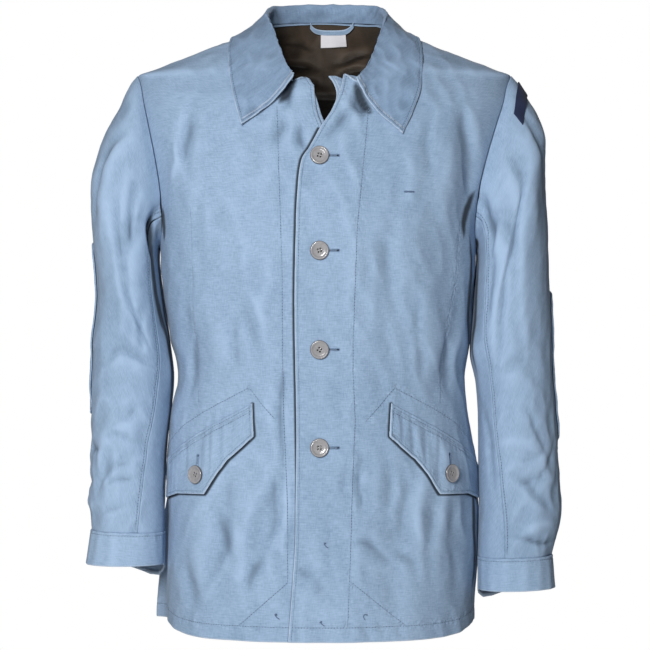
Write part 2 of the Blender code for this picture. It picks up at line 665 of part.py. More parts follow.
def flap_surface(side, columns, rows):
    """A pocket flap on its front, one layer out. Along runs from the middle of the body to the side."""
    along = np.linspace(0, column(FLAP, "along")[-1], columns)[None, :]
    down = np.linspace(0, 1, rows)[:, None]
    deep = read(FLAP, "deep", along, "along") * down
    lean = FLAP_END_LEAN * (1 - 2 * along / along[0, -1]) * down
    slope = math.radians(FLAP_SLOPE)
    across = FLAP_START + (along + lean) * math.cos(slope) - deep * math.sin(slope)
    height = FLAP_TOP - (along + lean) * math.sin(slope) - deep * math.cos(slope)
    turn = turn_of_arc(across, side)
    lift = LAYER + FLAP_STAND * down
    return panel_point(turn, height, lift)


def turn_of_arc(across, side):
    """The turn that lies this far from the middle of the front, measured along the cloth."""
    turns = np.linspace(-90, 0 if side > 0 else -180, 181)
    ring = body_point(turns, np.full(turns.shape, FLAP_LEVEL))
    length = np.concatenate([[0], np.cumsum(np.linalg.norm(np.diff(ring, axis=0), axis=-1))])
    return np.interp(across, length, turns)


def facing_surface(side, columns, rows):
    """The neck end of a front's facing, one layer inside the front."""
    down = np.linspace(0, 1, rows)[:, None]
    u = np.linspace(0, 1, columns)[None, :]
    if side > 0:
        height = FACING_LEFT_TOP + (FACING_LEFT_END - FACING_LEFT_TOP) * down + 0 * u
        edge = read(EDGES, "left", height, "height") - FACING_LEFT_TIP * (1 - down) ** 3 + 0.0005
        x = edge + (FACING_LEFT_WIDTH - edge) * u
    else:
        height = FACING_RIGHT_TOP + (FACING_RIGHT_END - FACING_RIGHT_TOP) * down + 0 * u
        edge = read(EDGES, "right", height, "height") + FACING_RIGHT_SHOW * down * (1 - down) * 4 - 0.001
        x = edge + (-FACING_RIGHT_WIDTH - edge) * u
    dip = 0.010 * np.clip(u - 0.25, 0, 1) * (1 - down)
    height = height - dip
    lift = placket_lift(x) if side > 0 else 0.0 * x
    return panel_point(turn_at(x, height, -1), height, lift - FACING_INSIDE)


def new_material(name, colour, roughness):
    material = bpy.data.materials.new(name)
    material.use_nodes = True
    shader = material.node_tree.nodes["Principled BSDF"]
    shader.inputs["Base Color"].default_value = (*colour, 1.0)
    shader.inputs["Roughness"].default_value = roughness
    shader.inputs["Metallic"].default_value = 0.0
    return material


def put(name, mesh, material):
    mesh.materials.append(material)
    thing = bpy.data.objects.new(name, mesh)
    PARTS.objects.link(thing)
    return thing


def cloth(name, grid, material, thickness=CLOTH):
    """An open grid of points, made into a wall."""
    rows, columns = grid.shape[:2]
    index = np.arange(rows * columns).reshape(rows, columns)
    faces = np.stack([index[:-1, :-1], index[:-1, 1:], index[1:, 1:], index[1:, :-1]], -1).reshape(-1, 4)
    mesh = bpy.data.meshes.new(name)
    mesh.from_pydata(grid.reshape(-1, 3).tolist(), [], faces.tolist())
    mesh.update()
    mesh.shade_smooth()
    thing = put(name, mesh, material)
    wall = thing.modifiers.new("wall", "SOLIDIFY")
    wall.thickness = thickness
    wall.offset = 0.0
    return thing


def button(name, radius, point, normal, material):
    """A turned button: a dished face inside a raised rim, standing on the cloth."""
    thick = BUTTON_THICK * radius / BUTTON_RADIUS
    profile = [
        (0.0, thick * 0.62),
        (radius * 0.62, thick * 0.66),
        (radius * 0.80, thick),
        (radius * 0.97, thick * 0.78),
        (radius, thick * 0.45),
        (radius * 0.72, 0.0),
        (0.0, 0.0),
    ]
    mesh = bpy.data.meshes.new(name)
    mesh.from_pydata([(x, 0.0, z) for x, z in profile], [(k, k + 1) for k in range(len(profile) - 1)], [])
    thing = put(name, mesh, material)
    turned = thing.modifiers.new("turned", "SCREW")
    turned.steps = BUTTON_STEPS
    turned.render_steps = BUTTON_STEPS
    turned.use_merge_vertices = True
    turned.merge_threshold = 0.0001
    turned.use_smooth_shade = True
    thing.location = point
    thing.rotation_euler = Vector(normal).to_track_quat("Z", "Y").to_euler()
    return thing


for old in list(bpy.data.objects):
    bpy.data.objects.remove(old, do_unlink=True)
PARTS = bpy.data.collections.new("civil defence jacket")
bpy.context.scene.collection.children.link(PARTS)

blue = new_material("blue cotton", BLUE_COTTON, 0.85)
brown = new_material("brown lining", BROWN_LINING, 0.8)
navy = new_material("navy cloth", NAVY_CLOTH, 0.9)
pale = new_material("pale tape", PALE_TAPE, 0.7)
grey = new_material("grey plastic", GREY_PLASTIC, 0.3)

# Body
cloth("front_left", front_surface(1, 15, 16, 15), blue)
cloth("front_right", front_surface(-1, 15, 16, 15), blue)
back_turn, back_height = back_grid(23, 13, 13)
cloth("back", panel_point(back_turn, back_height), blue)
inside = (slice(LINING_FIRST_ROW, None), slice(LINING_FIRST_COLUMN, -LINING_FIRST_COLUMN))
cloth("back_lining", panel_point(back_turn[inside], back_height[inside], -LAYER), brown)
cloth("facing_left", facing_surface(1, 5, 6), blue)
cloth("facing_right", facing_surface(-1, 5, 7), blue)

# Collar, with the hanger loop and the label inside it
cloth("collar", collar_surface(33, 13), blue, COLLAR_CLOTH)

loop_x = np.linspace(LOOP_RIGHT, LOOP_LEFT, 11)[None, :]
loop_share = (loop_x - LOOP_RIGHT) / (LOOP_LEFT - LOOP_RIGHT)
loop_top = LOOP_TOP - LOOP_SAG * (1 - (2 * loop_share - 1) ** 6)
loop_height = loop_top - LOOP_WIDTH * np.linspace(0, 1, 2)[:, None]
loop_turn = turn_at(loop_x + 0 * loop_height, loop_height, 1)
cloth("hanger_loop", panel_point(loop_turn, loop_height, -LOOP_INSIDE), blue, LOOP_THICK)

label_x = np.linspace(LABEL_RIGHT, LABEL_LEFT, 5)[None, :]
label_height = np.linspace(LABEL_TOP, LABEL_LOW, 3)[:, None] + LABEL_SLANT * (label_x - LABEL_RIGHT)
label_turn = turn_at(label_x + 0 * label_height, label_height, 1)
cloth("size_label", panel_point(label_turn, label_height, -LABEL_INSIDE), pale, LABEL_THICK)

# Sleeves, elbow patches and cuffs
for side, name in ((1, "left"), (-1, "right")):
    down = np.linspace(0, 1, 21)[:, None]
    front_seam = read(SLEEVE_SEAMS, "front", down, "along") + SEAM_HALF_TURN
    back_seam = read(SLEEVE_SEAMS, "back", down, "along") - SEAM_HALF_TURN
    top_share, under_share = np.linspace(0, 1, 14)[None, :], np.linspace(0, 1, 7)[None, :]
    top_phase = front_seam + (back_seam - front_seam) * top_share
    under_start = back_seam + 2 * SEAM_HALF_TURN - 360
    under_phase = under_start + (front_seam - 2 * SEAM_HALF_TURN - under_start) * under_share
    cloth(f"sleeve_top_{name}", sleeve_point(side, top_phase, down), blue)
    cloth(f"sleeve_under_{name}", sleeve_point(side, under_phase, down), blue)

    patch_a = np.linspace(-1, 1, 8)[None, :]
    patch_b = np.linspace(-1, 1, 8)[:, None]
    low, high = PATCHES[side]
    patch_phase = PATCH_MIDDLE + PATCH_HALF_TURN * patch_a * (1 - 0.22 * patch_b**8)
    patch_along = (low + high) / 2 + (high - low) / 2 * patch_b * (1 - 0.07 * patch_a**6)
    cloth(f"elbow_patch_{name}", sleeve_point(side, patch_phase, patch_along, PATCH_LIFT), blue)

    turn = np.linspace(0, 1, 27)[None, :]
    lift = CUFF_OVERLAP_LIFT * turn
    phase = CUFF_START + CUFF_SWEEP * turn
    cloth(f"cuff_{name}", cuff_point(side, phase, np.linspace(0, 1, 3)[:, None], lift), blue)

    at = CUFF_START + CUFF_SWEEP - 360 - CUFF_BUTTON_TURN
    spot = cuff_point(side, at, 0.5, CUFF_OVERLAP_LIFT + CLOTH / 2 + BUTTON_STAND)
    ahead = cuff_point(side, at + 2, 0.5) - cuff_point(side, at - 2, 0.5)
    facing = unit(np.cross([0.0, 0.0, -1.0], ahead)) * side
    button(f"button_cuff_{name}", CUFF_BUTTON_RADIUS, spot, facing, grey)

    cloth(f"pocket_flap_{name}", flap_surface(side, 15, 5), blue)

title_phase = np.linspace(TITLE_FRONT, TITLE_BACK, 12)[None, :]
title_along = TITLE_TOP + (TITLE_LOW - TITLE_TOP) * np.linspace(0, 1, 4)[:, None]
cloth("shoulder_title", sleeve_point(1, title_phase, title_along, LAYER + SEAM_GAP), navy)

# Buttons
for number, height in enumerate(FRONT_BUTTONS, 1):
    turn = turn_at(FRONT_BUTTON_X, height, -1)
    spot = panel_point(turn, height, LAYER + SEAM_GAP + CLOTH / 2 + BUTTON_STAND)
    button(f"button_front_{number}", BUTTON_RADIUS, spot, body_normal(turn, height), grey)
for name, x, height in POCKET_BUTTONS:
    turn = turn_at(x, height, -1)
    spot = panel_point(turn, height, LAYER + FLAP_STAND + CLOTH / 2 + 2 * BUTTON_STAND)
    button(f"button_pocket_{name}", BUTTON_RADIUS, spot, body_normal(turn, height), grey)
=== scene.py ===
"""Civil defence jacket, filled out as if worn, with no wearer. Metres, +Z up, the front faces -Y.

Left and right are the wearer's. Every panel is a grid of points worked out on one form, so that a
seam, a stitch row, a flap or a button takes its place from the panel that carries it.
"""

import math

import bpy
import numpy as np
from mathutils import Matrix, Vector


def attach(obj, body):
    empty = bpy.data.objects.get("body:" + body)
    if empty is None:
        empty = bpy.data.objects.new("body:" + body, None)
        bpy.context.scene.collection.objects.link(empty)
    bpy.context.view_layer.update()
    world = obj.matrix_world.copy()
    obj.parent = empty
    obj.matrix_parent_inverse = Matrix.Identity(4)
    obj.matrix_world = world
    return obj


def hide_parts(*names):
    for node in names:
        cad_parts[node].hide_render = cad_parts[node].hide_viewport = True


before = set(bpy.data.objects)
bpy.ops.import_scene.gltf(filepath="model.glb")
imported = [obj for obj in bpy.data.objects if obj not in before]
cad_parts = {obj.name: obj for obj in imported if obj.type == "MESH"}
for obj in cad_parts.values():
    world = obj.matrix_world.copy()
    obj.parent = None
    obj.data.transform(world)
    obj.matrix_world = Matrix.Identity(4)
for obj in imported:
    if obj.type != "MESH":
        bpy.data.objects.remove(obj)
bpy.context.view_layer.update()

# Fronts: two panels of washed blue cotton, cut with the armhole and neck in them. Each has its front
# edge and hem folded under and stitched, and its facing held by a long row of stitches. The left
# laps over the right.
HEM = -0.7405
HEM_RISE = 0.012
HEM_DEPTH = 0.017
UNDERARM = -0.262
SHOULDER_TIP = -0.049
NECK_POINT = 0.012
ARMHOLE_FRONT = 0.066
ARMHOLE_BACK = 0.072
ARMHOLE_TAPER = 0.32
SEAM_GAP = 0.0004
SOLID_LAYER = 0.0019
COTTON_THICK = 0.0009
EDGE_SHARE = 0.62
PLACKET_FULL = 0.034
PLACKET_END = 0.060
EDGE_STITCH = 0.0034
EDGE_PLUMP = 0.00022
EDGE_ROUND = 0.0012
STITCH_PULL = 0.00030
STITCH_GROOVE = 0.0011
SEAM_GROOVE = 0.0026
HOLLOW_REACH = 0.0026
HOLLOW_TAPER = 0.0078
CALM_DEPTH = 0.066
CALM_SIDE = 0.13
CALM_BLEND = 0.03
CREASE_FADE = 0.03
RIDGE_FADE = 0.06
TRIM = 0.004
SIDES = ((1, "left"), (-1, "right"))

# The body's section at each height: half width on each side, depth of front and back, roundness.
BODY = (
    ("height", "right", "left", "front", "back", "round"),
    (-0.742, 0.1935, 0.1895, 0.1440, 0.1450, 2.20),
    (-0.670, 0.1940, 0.1905, 0.1430, 0.1420, 2.15),
    (-0.600, 0.1925, 0.1925, 0.1420, 0.1380, 2.10),
    (-0.540, 0.1920, 0.1930, 0.1400, 0.1320, 2.10),
    (-0.480, 0.1870, 0.1840, 0.1360, 0.1230, 2.15),
    (-0.424, 0.1790, 0.1785, 0.1330, 0.1140, 2.20),
    (-0.380, 0.1865, 0.1830, 0.1340, 0.1130, 2.25),
    (-0.323, 0.1945, 0.1860, 0.1380, 0.1180, 2.30),
    (-0.262, 0.1990, 0.1900, 0.1400, 0.1240, 2.30),
    (-0.200, 0.2090, 0.2030, 0.1370, 0.1270, 2.30),
    (-0.150, 0.2210, 0.2190, 0.1290, 0.1260, 2.25),
    (-0.110, 0.2290, 0.2310, 0.1180, 0.1200, 2.20),
    (-0.080, 0.2325, 0.2375, 0.1060, 0.1130, 2.10),
    (-0.049, 0.2300, 0.2366, 0.0850, 0.1030, 2.00),
    (-0.042, 0.2122, 0.2190, 0.0795, 0.1005, 2.00),
    (-0.015, 0.1436, 0.1510, 0.0560, 0.0920, 2.00),
    (0.012, 0.0750, 0.0830, 0.0330, 0.0820, 2.00),
    (0.028, 0.0640, 0.0720, 0.0250, 0.0760, 2.00),
)
# Front edges: how far each front reaches across the middle at each height.
EDGES = (
    ("height", "left", "right"),
    (-0.742, -0.0395, 0.0250),
    (-0.690, -0.0355, 0.0255),
    (-0.620, -0.0310, 0.0260),
    (-0.500, -0.0295, 0.0260),
    (-0.340, -0.0317, 0.0260),
    (-0.228, -0.0297, 0.0250),
    (-0.188, -0.0273, 0.0210),
    (-0.163, -0.0237, 0.0150),
    (-0.144, -0.0122, 0.0080),
    (-0.121, 0.0004, 0.0000),
    (-0.100, 0.0135, -0.0070),
    (-0.0755, 0.0233, -0.0095),
    (-0.056, 0.0272, -0.0100),
)
CORNER_LEFT = -0.0560
CORNER_RIGHT = -0.0700
# Neck seam of each front, from the front corner to the shoulder seam.
NECK_LEFT = (
    ("share", "x", "height"),
    (0.00, 0.0272, -0.0560),
    (0.18, 0.0434, -0.0665),
    (0.42, 0.0610, -0.0460),
    (0.70, 0.0745, -0.0170),
    (1.00, 0.0830, 0.0120),
)
NECK_RIGHT = (
    ("share", "x", "height"),
    (0.00, -0.0100, -0.0700),
    (0.08, -0.0190, -0.0590),
    (0.22, -0.0360, -0.0640),
    (0.46, -0.0540, -0.0430),
    (0.72, -0.0668, -0.0150),
    (1.00, -0.0750, 0.0120),
)
# Creases of the fronts: the two ends, how far out or in, how wide, how bowed, and which side is steeper.
FRONT_CREASES = (
    ("x_top", "z_top", "x_low", "z_low", "lift", "width", "bow", "lean"),
    (0.176, -0.095, 0.183, -0.215, -0.0075, 0.0110, 0.000, 0.3),
    (0.150, -0.110, 0.158, -0.260, 0.0045, 0.0150, 0.002, 0.0),
    (0.133, -0.100, 0.130, -0.185, -0.0018, 0.0070, 0.002, 0.2),
    (-0.166, -0.092, -0.163, -0.175, -0.0060, 0.0090, 0.000, -0.3),
    (-0.150, -0.110, -0.152, -0.300, 0.0035, 0.0170, 0.000, 0.0),
    (0.140, -0.300, 0.128, -0.450, 0.0040, 0.0190, 0.004, 0.0),
    (0.165, -0.330, 0.150, -0.450, -0.0030, 0.0080, 0.003, 0.2),
    (-0.140, -0.300, -0.132, -0.450, 0.0040, 0.0190, -0.004, 0.0),
    (-0.168, -0.320, -0.158, -0.440, -0.0030, 0.0080, -0.003, -0.2),
    (0.138, -0.480, 0.142, -0.700, 0.0055, 0.0220, 0.000, 0.0),
    (-0.138, -0.480, -0.140, -0.700, 0.0055, 0.0220, 0.000, 0.0),
    (-0.055, -0.530, -0.090, -0.700, -0.0036, 0.0120, 0.004, -0.3),
    (-0.130, -0.560, -0.112, -0.660, -0.0030, 0.0090, 0.000, 0.3),
    (0.100, -0.560, 0.078, -0.736, -0.0030, 0.0180, 0.000, 0.0),
    (0.044, -0.495, 0.047, -0.550, -0.0022, 0.0060, 0.001, 0.3),
    (0.046, -0.080, -0.001, -0.137, -0.0040, 0.0065, -0.006, -0.4),
    (-0.035, -0.062, -0.044, -0.096, -0.0090, 0.0065, 0.000, 0.2),
    (0.039, -0.072, 0.050, -0.112, -0.0090, 0.0065, 0.000, -0.2),
    (-0.046, -0.100, -0.056, -0.150, -0.0032, 0.0090, 0.000, 0.2),
    (-0.070, -0.120, -0.095, -0.240, -0.0016, 0.0120, 0.005, 0.0),
    (0.090, -0.130, 0.098, -0.250, -0.0016, 0.0140, -0.004, 0.0),
    (-0.047, -0.409, -0.049, -0.551, -0.0040, 0.0048, 0.000, 0.3),
    (-0.054, -0.546, -0.065, -0.636, -0.0038, 0.0075, 0.000, 0.3),
    (-0.072, -0.633, -0.092, -0.688, -0.0034, 0.0080, 0.000, 0.0),
    (-0.041, -0.536, -0.046, -0.645, 0.0020, 0.0045, 0.000, 0.0),
    (-0.106, -0.546, -0.140, -0.684, -0.0044, 0.0105, -0.004, 0.3),
    (-0.162, -0.641, -0.159, -0.720, -0.0034, 0.0080, 0.000, 0.0),
    (-0.110, -0.258, -0.079, -0.409, -0.0027, 0.0120, 0.000, 0.2),
    (-0.147, -0.198, -0.148, -0.319, -0.0032, 0.0100, 0.000, -0.2),
    (-0.176, -0.135, -0.179, -0.188, 0.0032, 0.0060, 0.000, 0.0),
    (-0.031, -0.111, -0.019, -0.152, -0.0042, 0.0060, 0.000, 0.3),
    (-0.029, -0.645, 0.008, -0.684, -0.0027, 0.0100, 0.003, 0.0),
    (0.038, -0.619, 0.086, -0.647, -0.0038, 0.0075, -0.003, 0.3),
    (0.092, -0.630, 0.117, -0.663, -0.0032, 0.0075, -0.002, 0.2),
    (0.081, -0.518, 0.083, -0.599, -0.0030, 0.0085, 0.002, 0.2),
    (0.044, -0.522, 0.046, -0.590, -0.0032, 0.0048, 0.000, 0.3),
    (0.028, -0.522, 0.031, -0.581, -0.0028, 0.0060, 0.000, 0.0),
    (0.119, -0.527, 0.117, -0.634, 0.0034, 0.0085, 0.000, 0.0),
    (0.136, -0.530, 0.133, -0.689, -0.0035, 0.0090, 0.003, 0.2),
    (0.158, -0.573, 0.161, -0.684, -0.0029, 0.0080, 0.000, 0.0),
    (-0.065, -0.270, -0.072, -0.385, 0.0022, 0.0110, 0.000, 0.0),
    (0.085, -0.228, 0.078, -0.367, -0.0028, 0.0130, 0.004, 0.0),
    (0.109, -0.137, 0.101, -0.228, 0.0024, 0.0110, 0.000, 0.0),
    (0.061, -0.258, 0.066, -0.367, 0.0016, 0.0090, 0.000, 0.0),
    (-0.141, -0.466, -0.144, -0.541, -0.0013, 0.0032, 0.001, 0.2),
    (-0.132, -0.461, -0.133, -0.536, -0.0013, 0.0032, 0.001, 0.2),
    (-0.118, -0.454, -0.121, -0.539, -0.0013, 0.0032, 0.001, 0.2),
    (-0.104, -0.449, -0.106, -0.505, -0.0013, 0.0032, 0.001, 0.2),
    (-0.164, -0.486, -0.164, -0.549, -0.0013, 0.0032, 0.001, 0.2),
    (0.109, -0.469, 0.110, -0.532, -0.0013, 0.0032, 0.001, 0.2),
    (0.124, -0.476, 0.125, -0.541, -0.0013, 0.0032, 0.001, 0.2),
    (0.140, -0.481, 0.140, -0.556, -0.0013, 0.0032, 0.001, 0.2),
    (0.097, -0.461, 0.097, -0.507, -0.0013, 0.0032, 0.001, 0.2),
    (0.029, -0.716, 0.042, -0.742, -0.0016, 0.0042, 0.000, 0.2),
    (0.049, -0.720, 0.056, -0.743, -0.0014, 0.0036, 0.000, 0.0),
    (0.066, -0.713, 0.075, -0.742, -0.0018, 0.0044, 0.000, 0.2),
    (0.085, -0.718, 0.100, -0.740, -0.0014, 0.0040, 0.000, 0.0),
    (-0.026, -0.720, -0.031, -0.742, -0.0012, 0.0036, 0.000, 0.0),
    (-0.072, -0.712, -0.084, -0.737, -0.0012, 0.0045, 0.000, 0.0),
    (0.010, -0.549, 0.011, -0.694, -0.0016, 0.0060, 0.002, 0.1),
    (0.101, -0.536, 0.097, -0.621, -0.0016, 0.0050, 0.001, 0.2),
    (0.153, -0.367, 0.158, -0.452, -0.0030, 0.0055, 0.001, 0.2),
    (-0.152, -0.367, -0.162, -0.452, -0.0028, 0.0055, 0.001, -0.2),
    (-0.099, -0.331, -0.104, -0.428, -0.0018, 0.0060, 0.001, 0.2),
    (0.117, -0.331, 0.119, -0.428, -0.0020, 0.0060, 0.001, -0.2),
)
# Creases of the back, in the same measures.
BACK_CREASES = (
    ("x_top", "z_top", "x_low", "z_low", "lift", "width", "bow", "lean"),
    (0.158, -0.150, 0.168, -0.270, -0.0060, 0.0150, 0.000, 0.2),
    (-0.158, -0.150, -0.166, -0.270, -0.0060, 0.0150, 0.000, -0.2),
    (0.120, -0.150, 0.110, -0.340, 0.0050, 0.0220, 0.000, 0.0),
    (-0.120, -0.150, -0.112, -0.350, 0.0050, 0.0220, 0.000, 0.0),
    (0.092, -0.140, 0.084, -0.290, -0.0030, 0.0110, 0.003, 0.2),
    (-0.088, -0.150, -0.080, -0.300, -0.0028, 0.0120, -0.003, -0.2),
    (0.045, -0.330, 0.060, -0.560, -0.0045, 0.0230, 0.004, 0.2),
    (-0.050, -0.340, -0.066, -0.580, -0.0045, 0.0230, -0.003, -0.2),
    (0.118, -0.400, 0.120, -0.560, -0.0030, 0.0120, 0.003, 0.2),
    (-0.122, -0.390, -0.128, -0.540, -0.0030, 0.0120, -0.003, -0.2),
    (-0.176, -0.560, -0.196, -0.820, 0.0200, 0.0300, 0.000, 0.0),
    (0.150, -0.560, 0.162, -0.730, 0.0060, 0.0260, 0.000, 0.0),
    (0.000, -0.560, 0.004, -0.738, 0.0050, 0.0320, 0.000, 0.0),
    (-0.090, -0.600, -0.100, -0.738, 0.0040, 0.0200, 0.000, 0.0),
    (0.080, -0.610, 0.084, -0.738, 0.0035, 0.0200, 0.000, 0.0),
)


def column(rows, name):
    """One named column of a table, as an array."""
    place = rows[0].index(name)
    return np.array([row[place] for row in rows[1:]], float)


def smooth(at, places, values):
    """A smooth curve through the values that never swings past them, held level past the ends."""
    at = np.clip(at, places[0], places[-1])
    step = np.diff(places)
    rise = np.diff(values) / step
    before, after = rise[:-1], rise[1:]
    same = before * after > 0
    slope = np.concatenate([rise[:1], np.zeros(len(rise) - 1), rise[-1:]])
    slope[1:-1][same] = (2 * before * after)[same] / (before + after)[same]
    low = np.clip(np.searchsorted(places, at, side="right") - 1, 0, len(step) - 1)
    t = (at - places[low]) / step[low]
    start = values[low] * (2 * t**3 - 3 * t**2 + 1) + slope[low] * step[low] * (t**3 - 2 * t**2 + t)
    end = values[low + 1] * (3 * t**2 - 2 * t**3) + slope[low + 1] * step[low] * (t**3 - t**2)
    return start + end


def read(rows, name, at, by):
    """A table's column at these places of another column."""
    return smooth(np.asarray(at, float), column(rows, by), column(rows, name))


def read_each(rows, names, at, by):
    """Several of a table's columns at these places of another column."""
    return [read(rows, name, at, by) for name in names]


def unit(vectors):
    """Each vector at length one."""
    return vectors / np.maximum(np.linalg.norm(vectors, axis=-1, keepdims=True), 1e-12)


def rounded(wave, power):
    """A cosine or sine made rounder or squarer: its sign times its size to this power."""
    return np.sign(wave) * np.abs(wave) ** power


def body_sizes(turn, height):
    """Half width, depth and roundness of the body on the side that a turn faces."""
    right, left, front, back, rounding = read_each(BODY, BODY[0][1:], height, "height")
    return np.where(np.abs(turn) > 90, right, left), np.where(turn > 0, back, front), rounding


def body_point(turn, height):
    """The body's form: at each height a rounded section, x = half |cos|^(2/round), y = deep |sin|^(2/round).
    The turn is 0 at the left side, -90 in front and 90 at the back."""
    turn, height = np.broadcast_arrays(np.asarray(turn, float), np.asarray(height, float))
    half, deep, rounding = body_sizes(turn, height)
    x = half * rounded(np.cos(np.radians(turn)), 2 / rounding)
    y = deep * rounded(np.sin(np.radians(turn)), 2 / rounding)
    return np.stack([x, y, height], axis=-1)


def body_facing(turn, height):
    """The direction that the body's form faces: its slope round, crossed with its slope upward."""
    around = body_point(turn + 0.8, height) - body_point(turn - 0.8, height)
    upward = body_point(turn, height + 0.002) - body_point(turn, height - 0.002)
    return unit(np.cross(around, upward))


def turn_at(x, height, face):
    """The turn at which the form has this x. The face is -1 in front and 1 at the back."""
    x, height = np.broadcast_arrays(np.asarray(x, float), np.asarray(height, float))
    half, _, rounding = body_sizes(np.where(x < 0, 180.0, 0.0), height)
    share = np.clip(np.abs(x) / half, 0, 1) ** (rounding / 2)
    return face * np.degrees(np.arccos(np.sign(x) * share))


def turn_at_depth(depth, height, side, face):
    """The turn at which the form is this deep in front of, or behind, its side line."""
    depth, height = np.broadcast_arrays(np.asarray(depth, float), np.asarray(height, float))
    _, deep, rounding = body_sizes(np.full(height.shape, 90.0 * face), height)
    turn = np.degrees(np.arcsin(np.clip(np.abs(depth) / deep, 0, 1) ** (rounding / 2)))
    return face * np.where(side > 0, turn, 180 - turn)


def creases(rows, x, z, scale=(1.0, 1.0)):
    """How far the creases move the cloth out. Each is a ridge or trough exp(-(aside / width)^2) along a
    bowed and wandering line, steeper on its leaning side, narrowing and fading towards both ends."""
    lift = np.zeros(np.shape(x))
    for x_top, z_top, x_low, z_low, out, width, bow, lean in rows[1:]:
        run_x, run_z = (x_low - x_top) * scale[0], (z_low - z_top) * scale[1]
        from_x, from_z = (x - x_top) * scale[0], (z - z_top) * scale[1]
        length = math.hypot(run_x, run_z)
        share = (from_x * run_x + from_z * run_z) / length**2
        arch = np.clip(1 - (2 * share - 1) ** 2, 0, 1)
        wander = 0.35 * width * np.sin(6.5 * share + 90 * x_top + 40 * z_low)
        aside = (from_x * run_z - from_z * run_x) / length - bow * arch - wander
        narrow = 0.45 + 0.55 * np.exp(-1.2 * (2 * share - 1) ** 2)
        reach = width * narrow * (1 + lean * np.tanh(aside / width))
        fade = np.exp(-1.7 * np.abs(2 * share - 1) ** 3)
        lift = lift + out * fade * np.exp(-((aside / reach) ** 2))
    return lift


def ripples(points, seed, spacing, upright, waves=10):
    """Uneven soft waves through space, about -1 to 1: the mean of several sine waves, each with its own
    heading, start and spacing. With upright near 1 the waves run up and down."""
    chance = np.random.default_rng(seed)
    heading = unit(chance.normal(size=(waves, 3)) * [1, 1, 1 - upright])
    heading = heading * 2 * np.pi / (spacing * chance.uniform(0.7, 1.5, (waves, 1)))
    start = chance.uniform(0, 2 * np.pi, waves)
    return 1.7 * np.sin(points @ heading.T + start).mean(-1)


def crumple(points, seed, spacing, upright):
    """Narrow ridges round soft hollows, about -1 to 1: one less the size of the soft waves."""
    return 1 - 2.4 * np.abs(ripples(points, seed, spacing, upright))


def calm(base):
    """0 at the armholes, where the sleeve is set in, rising to 1 a little way off."""
    middle, reach = (SHOULDER_TIP + UNDERARM) / 2, (SHOULDER_TIP - UNDERARM) / 2
    oval = ((base[..., 2] - middle) / reach) ** 2 + (base[..., 1] / CALM_DEPTH) ** 2
    near_side = np.clip((np.abs(base[..., 0]) - CALM_SIDE) / CALM_BLEND, 0, 1)
    away = np.clip((np.sqrt(oval) - 1.02) / 0.30, 0, 1)
    return 1 - near_side * (1 - away)


# How far the body's sides lean out to meet the sleeves, at each depth below the shoulders.
LEANING = {
    1: (
        (0.240, 0.0), (0.262, 0.0033), (0.300, 0.0043), (0.340, 0.0021), (0.380, 0.0025), (0.420, 0.0),
        (0.510, 0.0), (0.540, 0.0009), (0.570, 0.0011), (0.590, 0.0028), (0.645, 0.0039), (0.700, 0.0),
    ),
    -1: (
        (0.240, 0.0), (0.262, 0.0032), (0.285, 0.0046), (0.320, 0.0029), (0.380, 0.0020), (0.400, 0.0004),
        (0.437, 0.0004), (0.455, 0.0026), (0.530, 0.0020), (0.550, 0.0006), (0.606, 0.0),
    ),
}


def leaning(turn, height):
    """The body's sides leaning out: read from the depths, times |cos(turn)|^8, so only near the sides."""
    out = [np.interp(-height, *np.array(LEANING[side]).T) for side in (1, -1)]
    across = np.cos(np.radians(turn))
    return np.where(across > 0, *out) * across**8


# Soft waves of the body's cloth: their form, how high they are, their seed, how far apart they are, and
# how nearly they run up and down.
BODY_WAVES = (
    (ripples, 0.0014, 11, 0.085, 0.85),
    (crumple, 0.00075, 12, 0.046, 0.45),
    (ripples, 0.00032, 13, 0.020, 0.30),
)


def panel_point(turn, height, lift=0.0):
    """A point of the body's cloth: the form, plus its creases and soft waves, moved out by lift."""
    turn, height = np.broadcast_arrays(np.asarray(turn, float), np.asarray(height, float))
    base = body_point(turn, height)
    front = creases(FRONT_CREASES, base[..., 0], base[..., 2])
    back = creases(BACK_CREASES, base[..., 0], base[..., 2])
    folds = np.where(turn < 0, front, back) * np.clip(np.abs(base[..., 1]) / CREASE_FADE, 0, 1) ** 2
    folds = folds * np.clip((SHOULDER_TIP - height) / RIDGE_FADE, 0, 1)
    waves = sum(
        high * form(base, seed, spacing, upright) for form, high, seed, spacing, upright in BODY_WAVES
    )
    moved = folds + waves * calm(base) + leaning(turn, height) + lift
    return base + moved[..., None] * body_facing(turn, height)


def seam_turn(height, side, face):
    """The turn of a side or shoulder seam, half a gap away from its line."""
    return turn_at_depth(SEAM_GAP * 0.7, height, side, face)


def armhole(phase, side, face):
    """The armhole from the underarm (0) to the shoulder tip (1), as turn and height: half an oval,
    narrower towards its top."""
    angle = np.pi * np.asarray(phase, float)
    height = (SHOULDER_TIP + UNDERARM) / 2 - (SHOULDER_TIP - UNDERARM) / 2 * np.cos(angle)
    deep = ARMHOLE_BACK if face > 0 else ARMHOLE_FRONT
    depth = np.maximum(deep * np.sin(angle) * (1 - ARMHOLE_TAPER * np.asarray(phase)), SEAM_GAP / 2)
    return turn_at_depth(depth, height, side, face), height


def front_edge(height, side):
    """How far a front's edge reaches across at this height."""
    return read(EDGES, "left" if side > 0 else "right", height, "height")


def front_edge_turn(height, side):
    """The turn of a front's edge."""
    return turn_at(front_edge(height, side), height, -1)


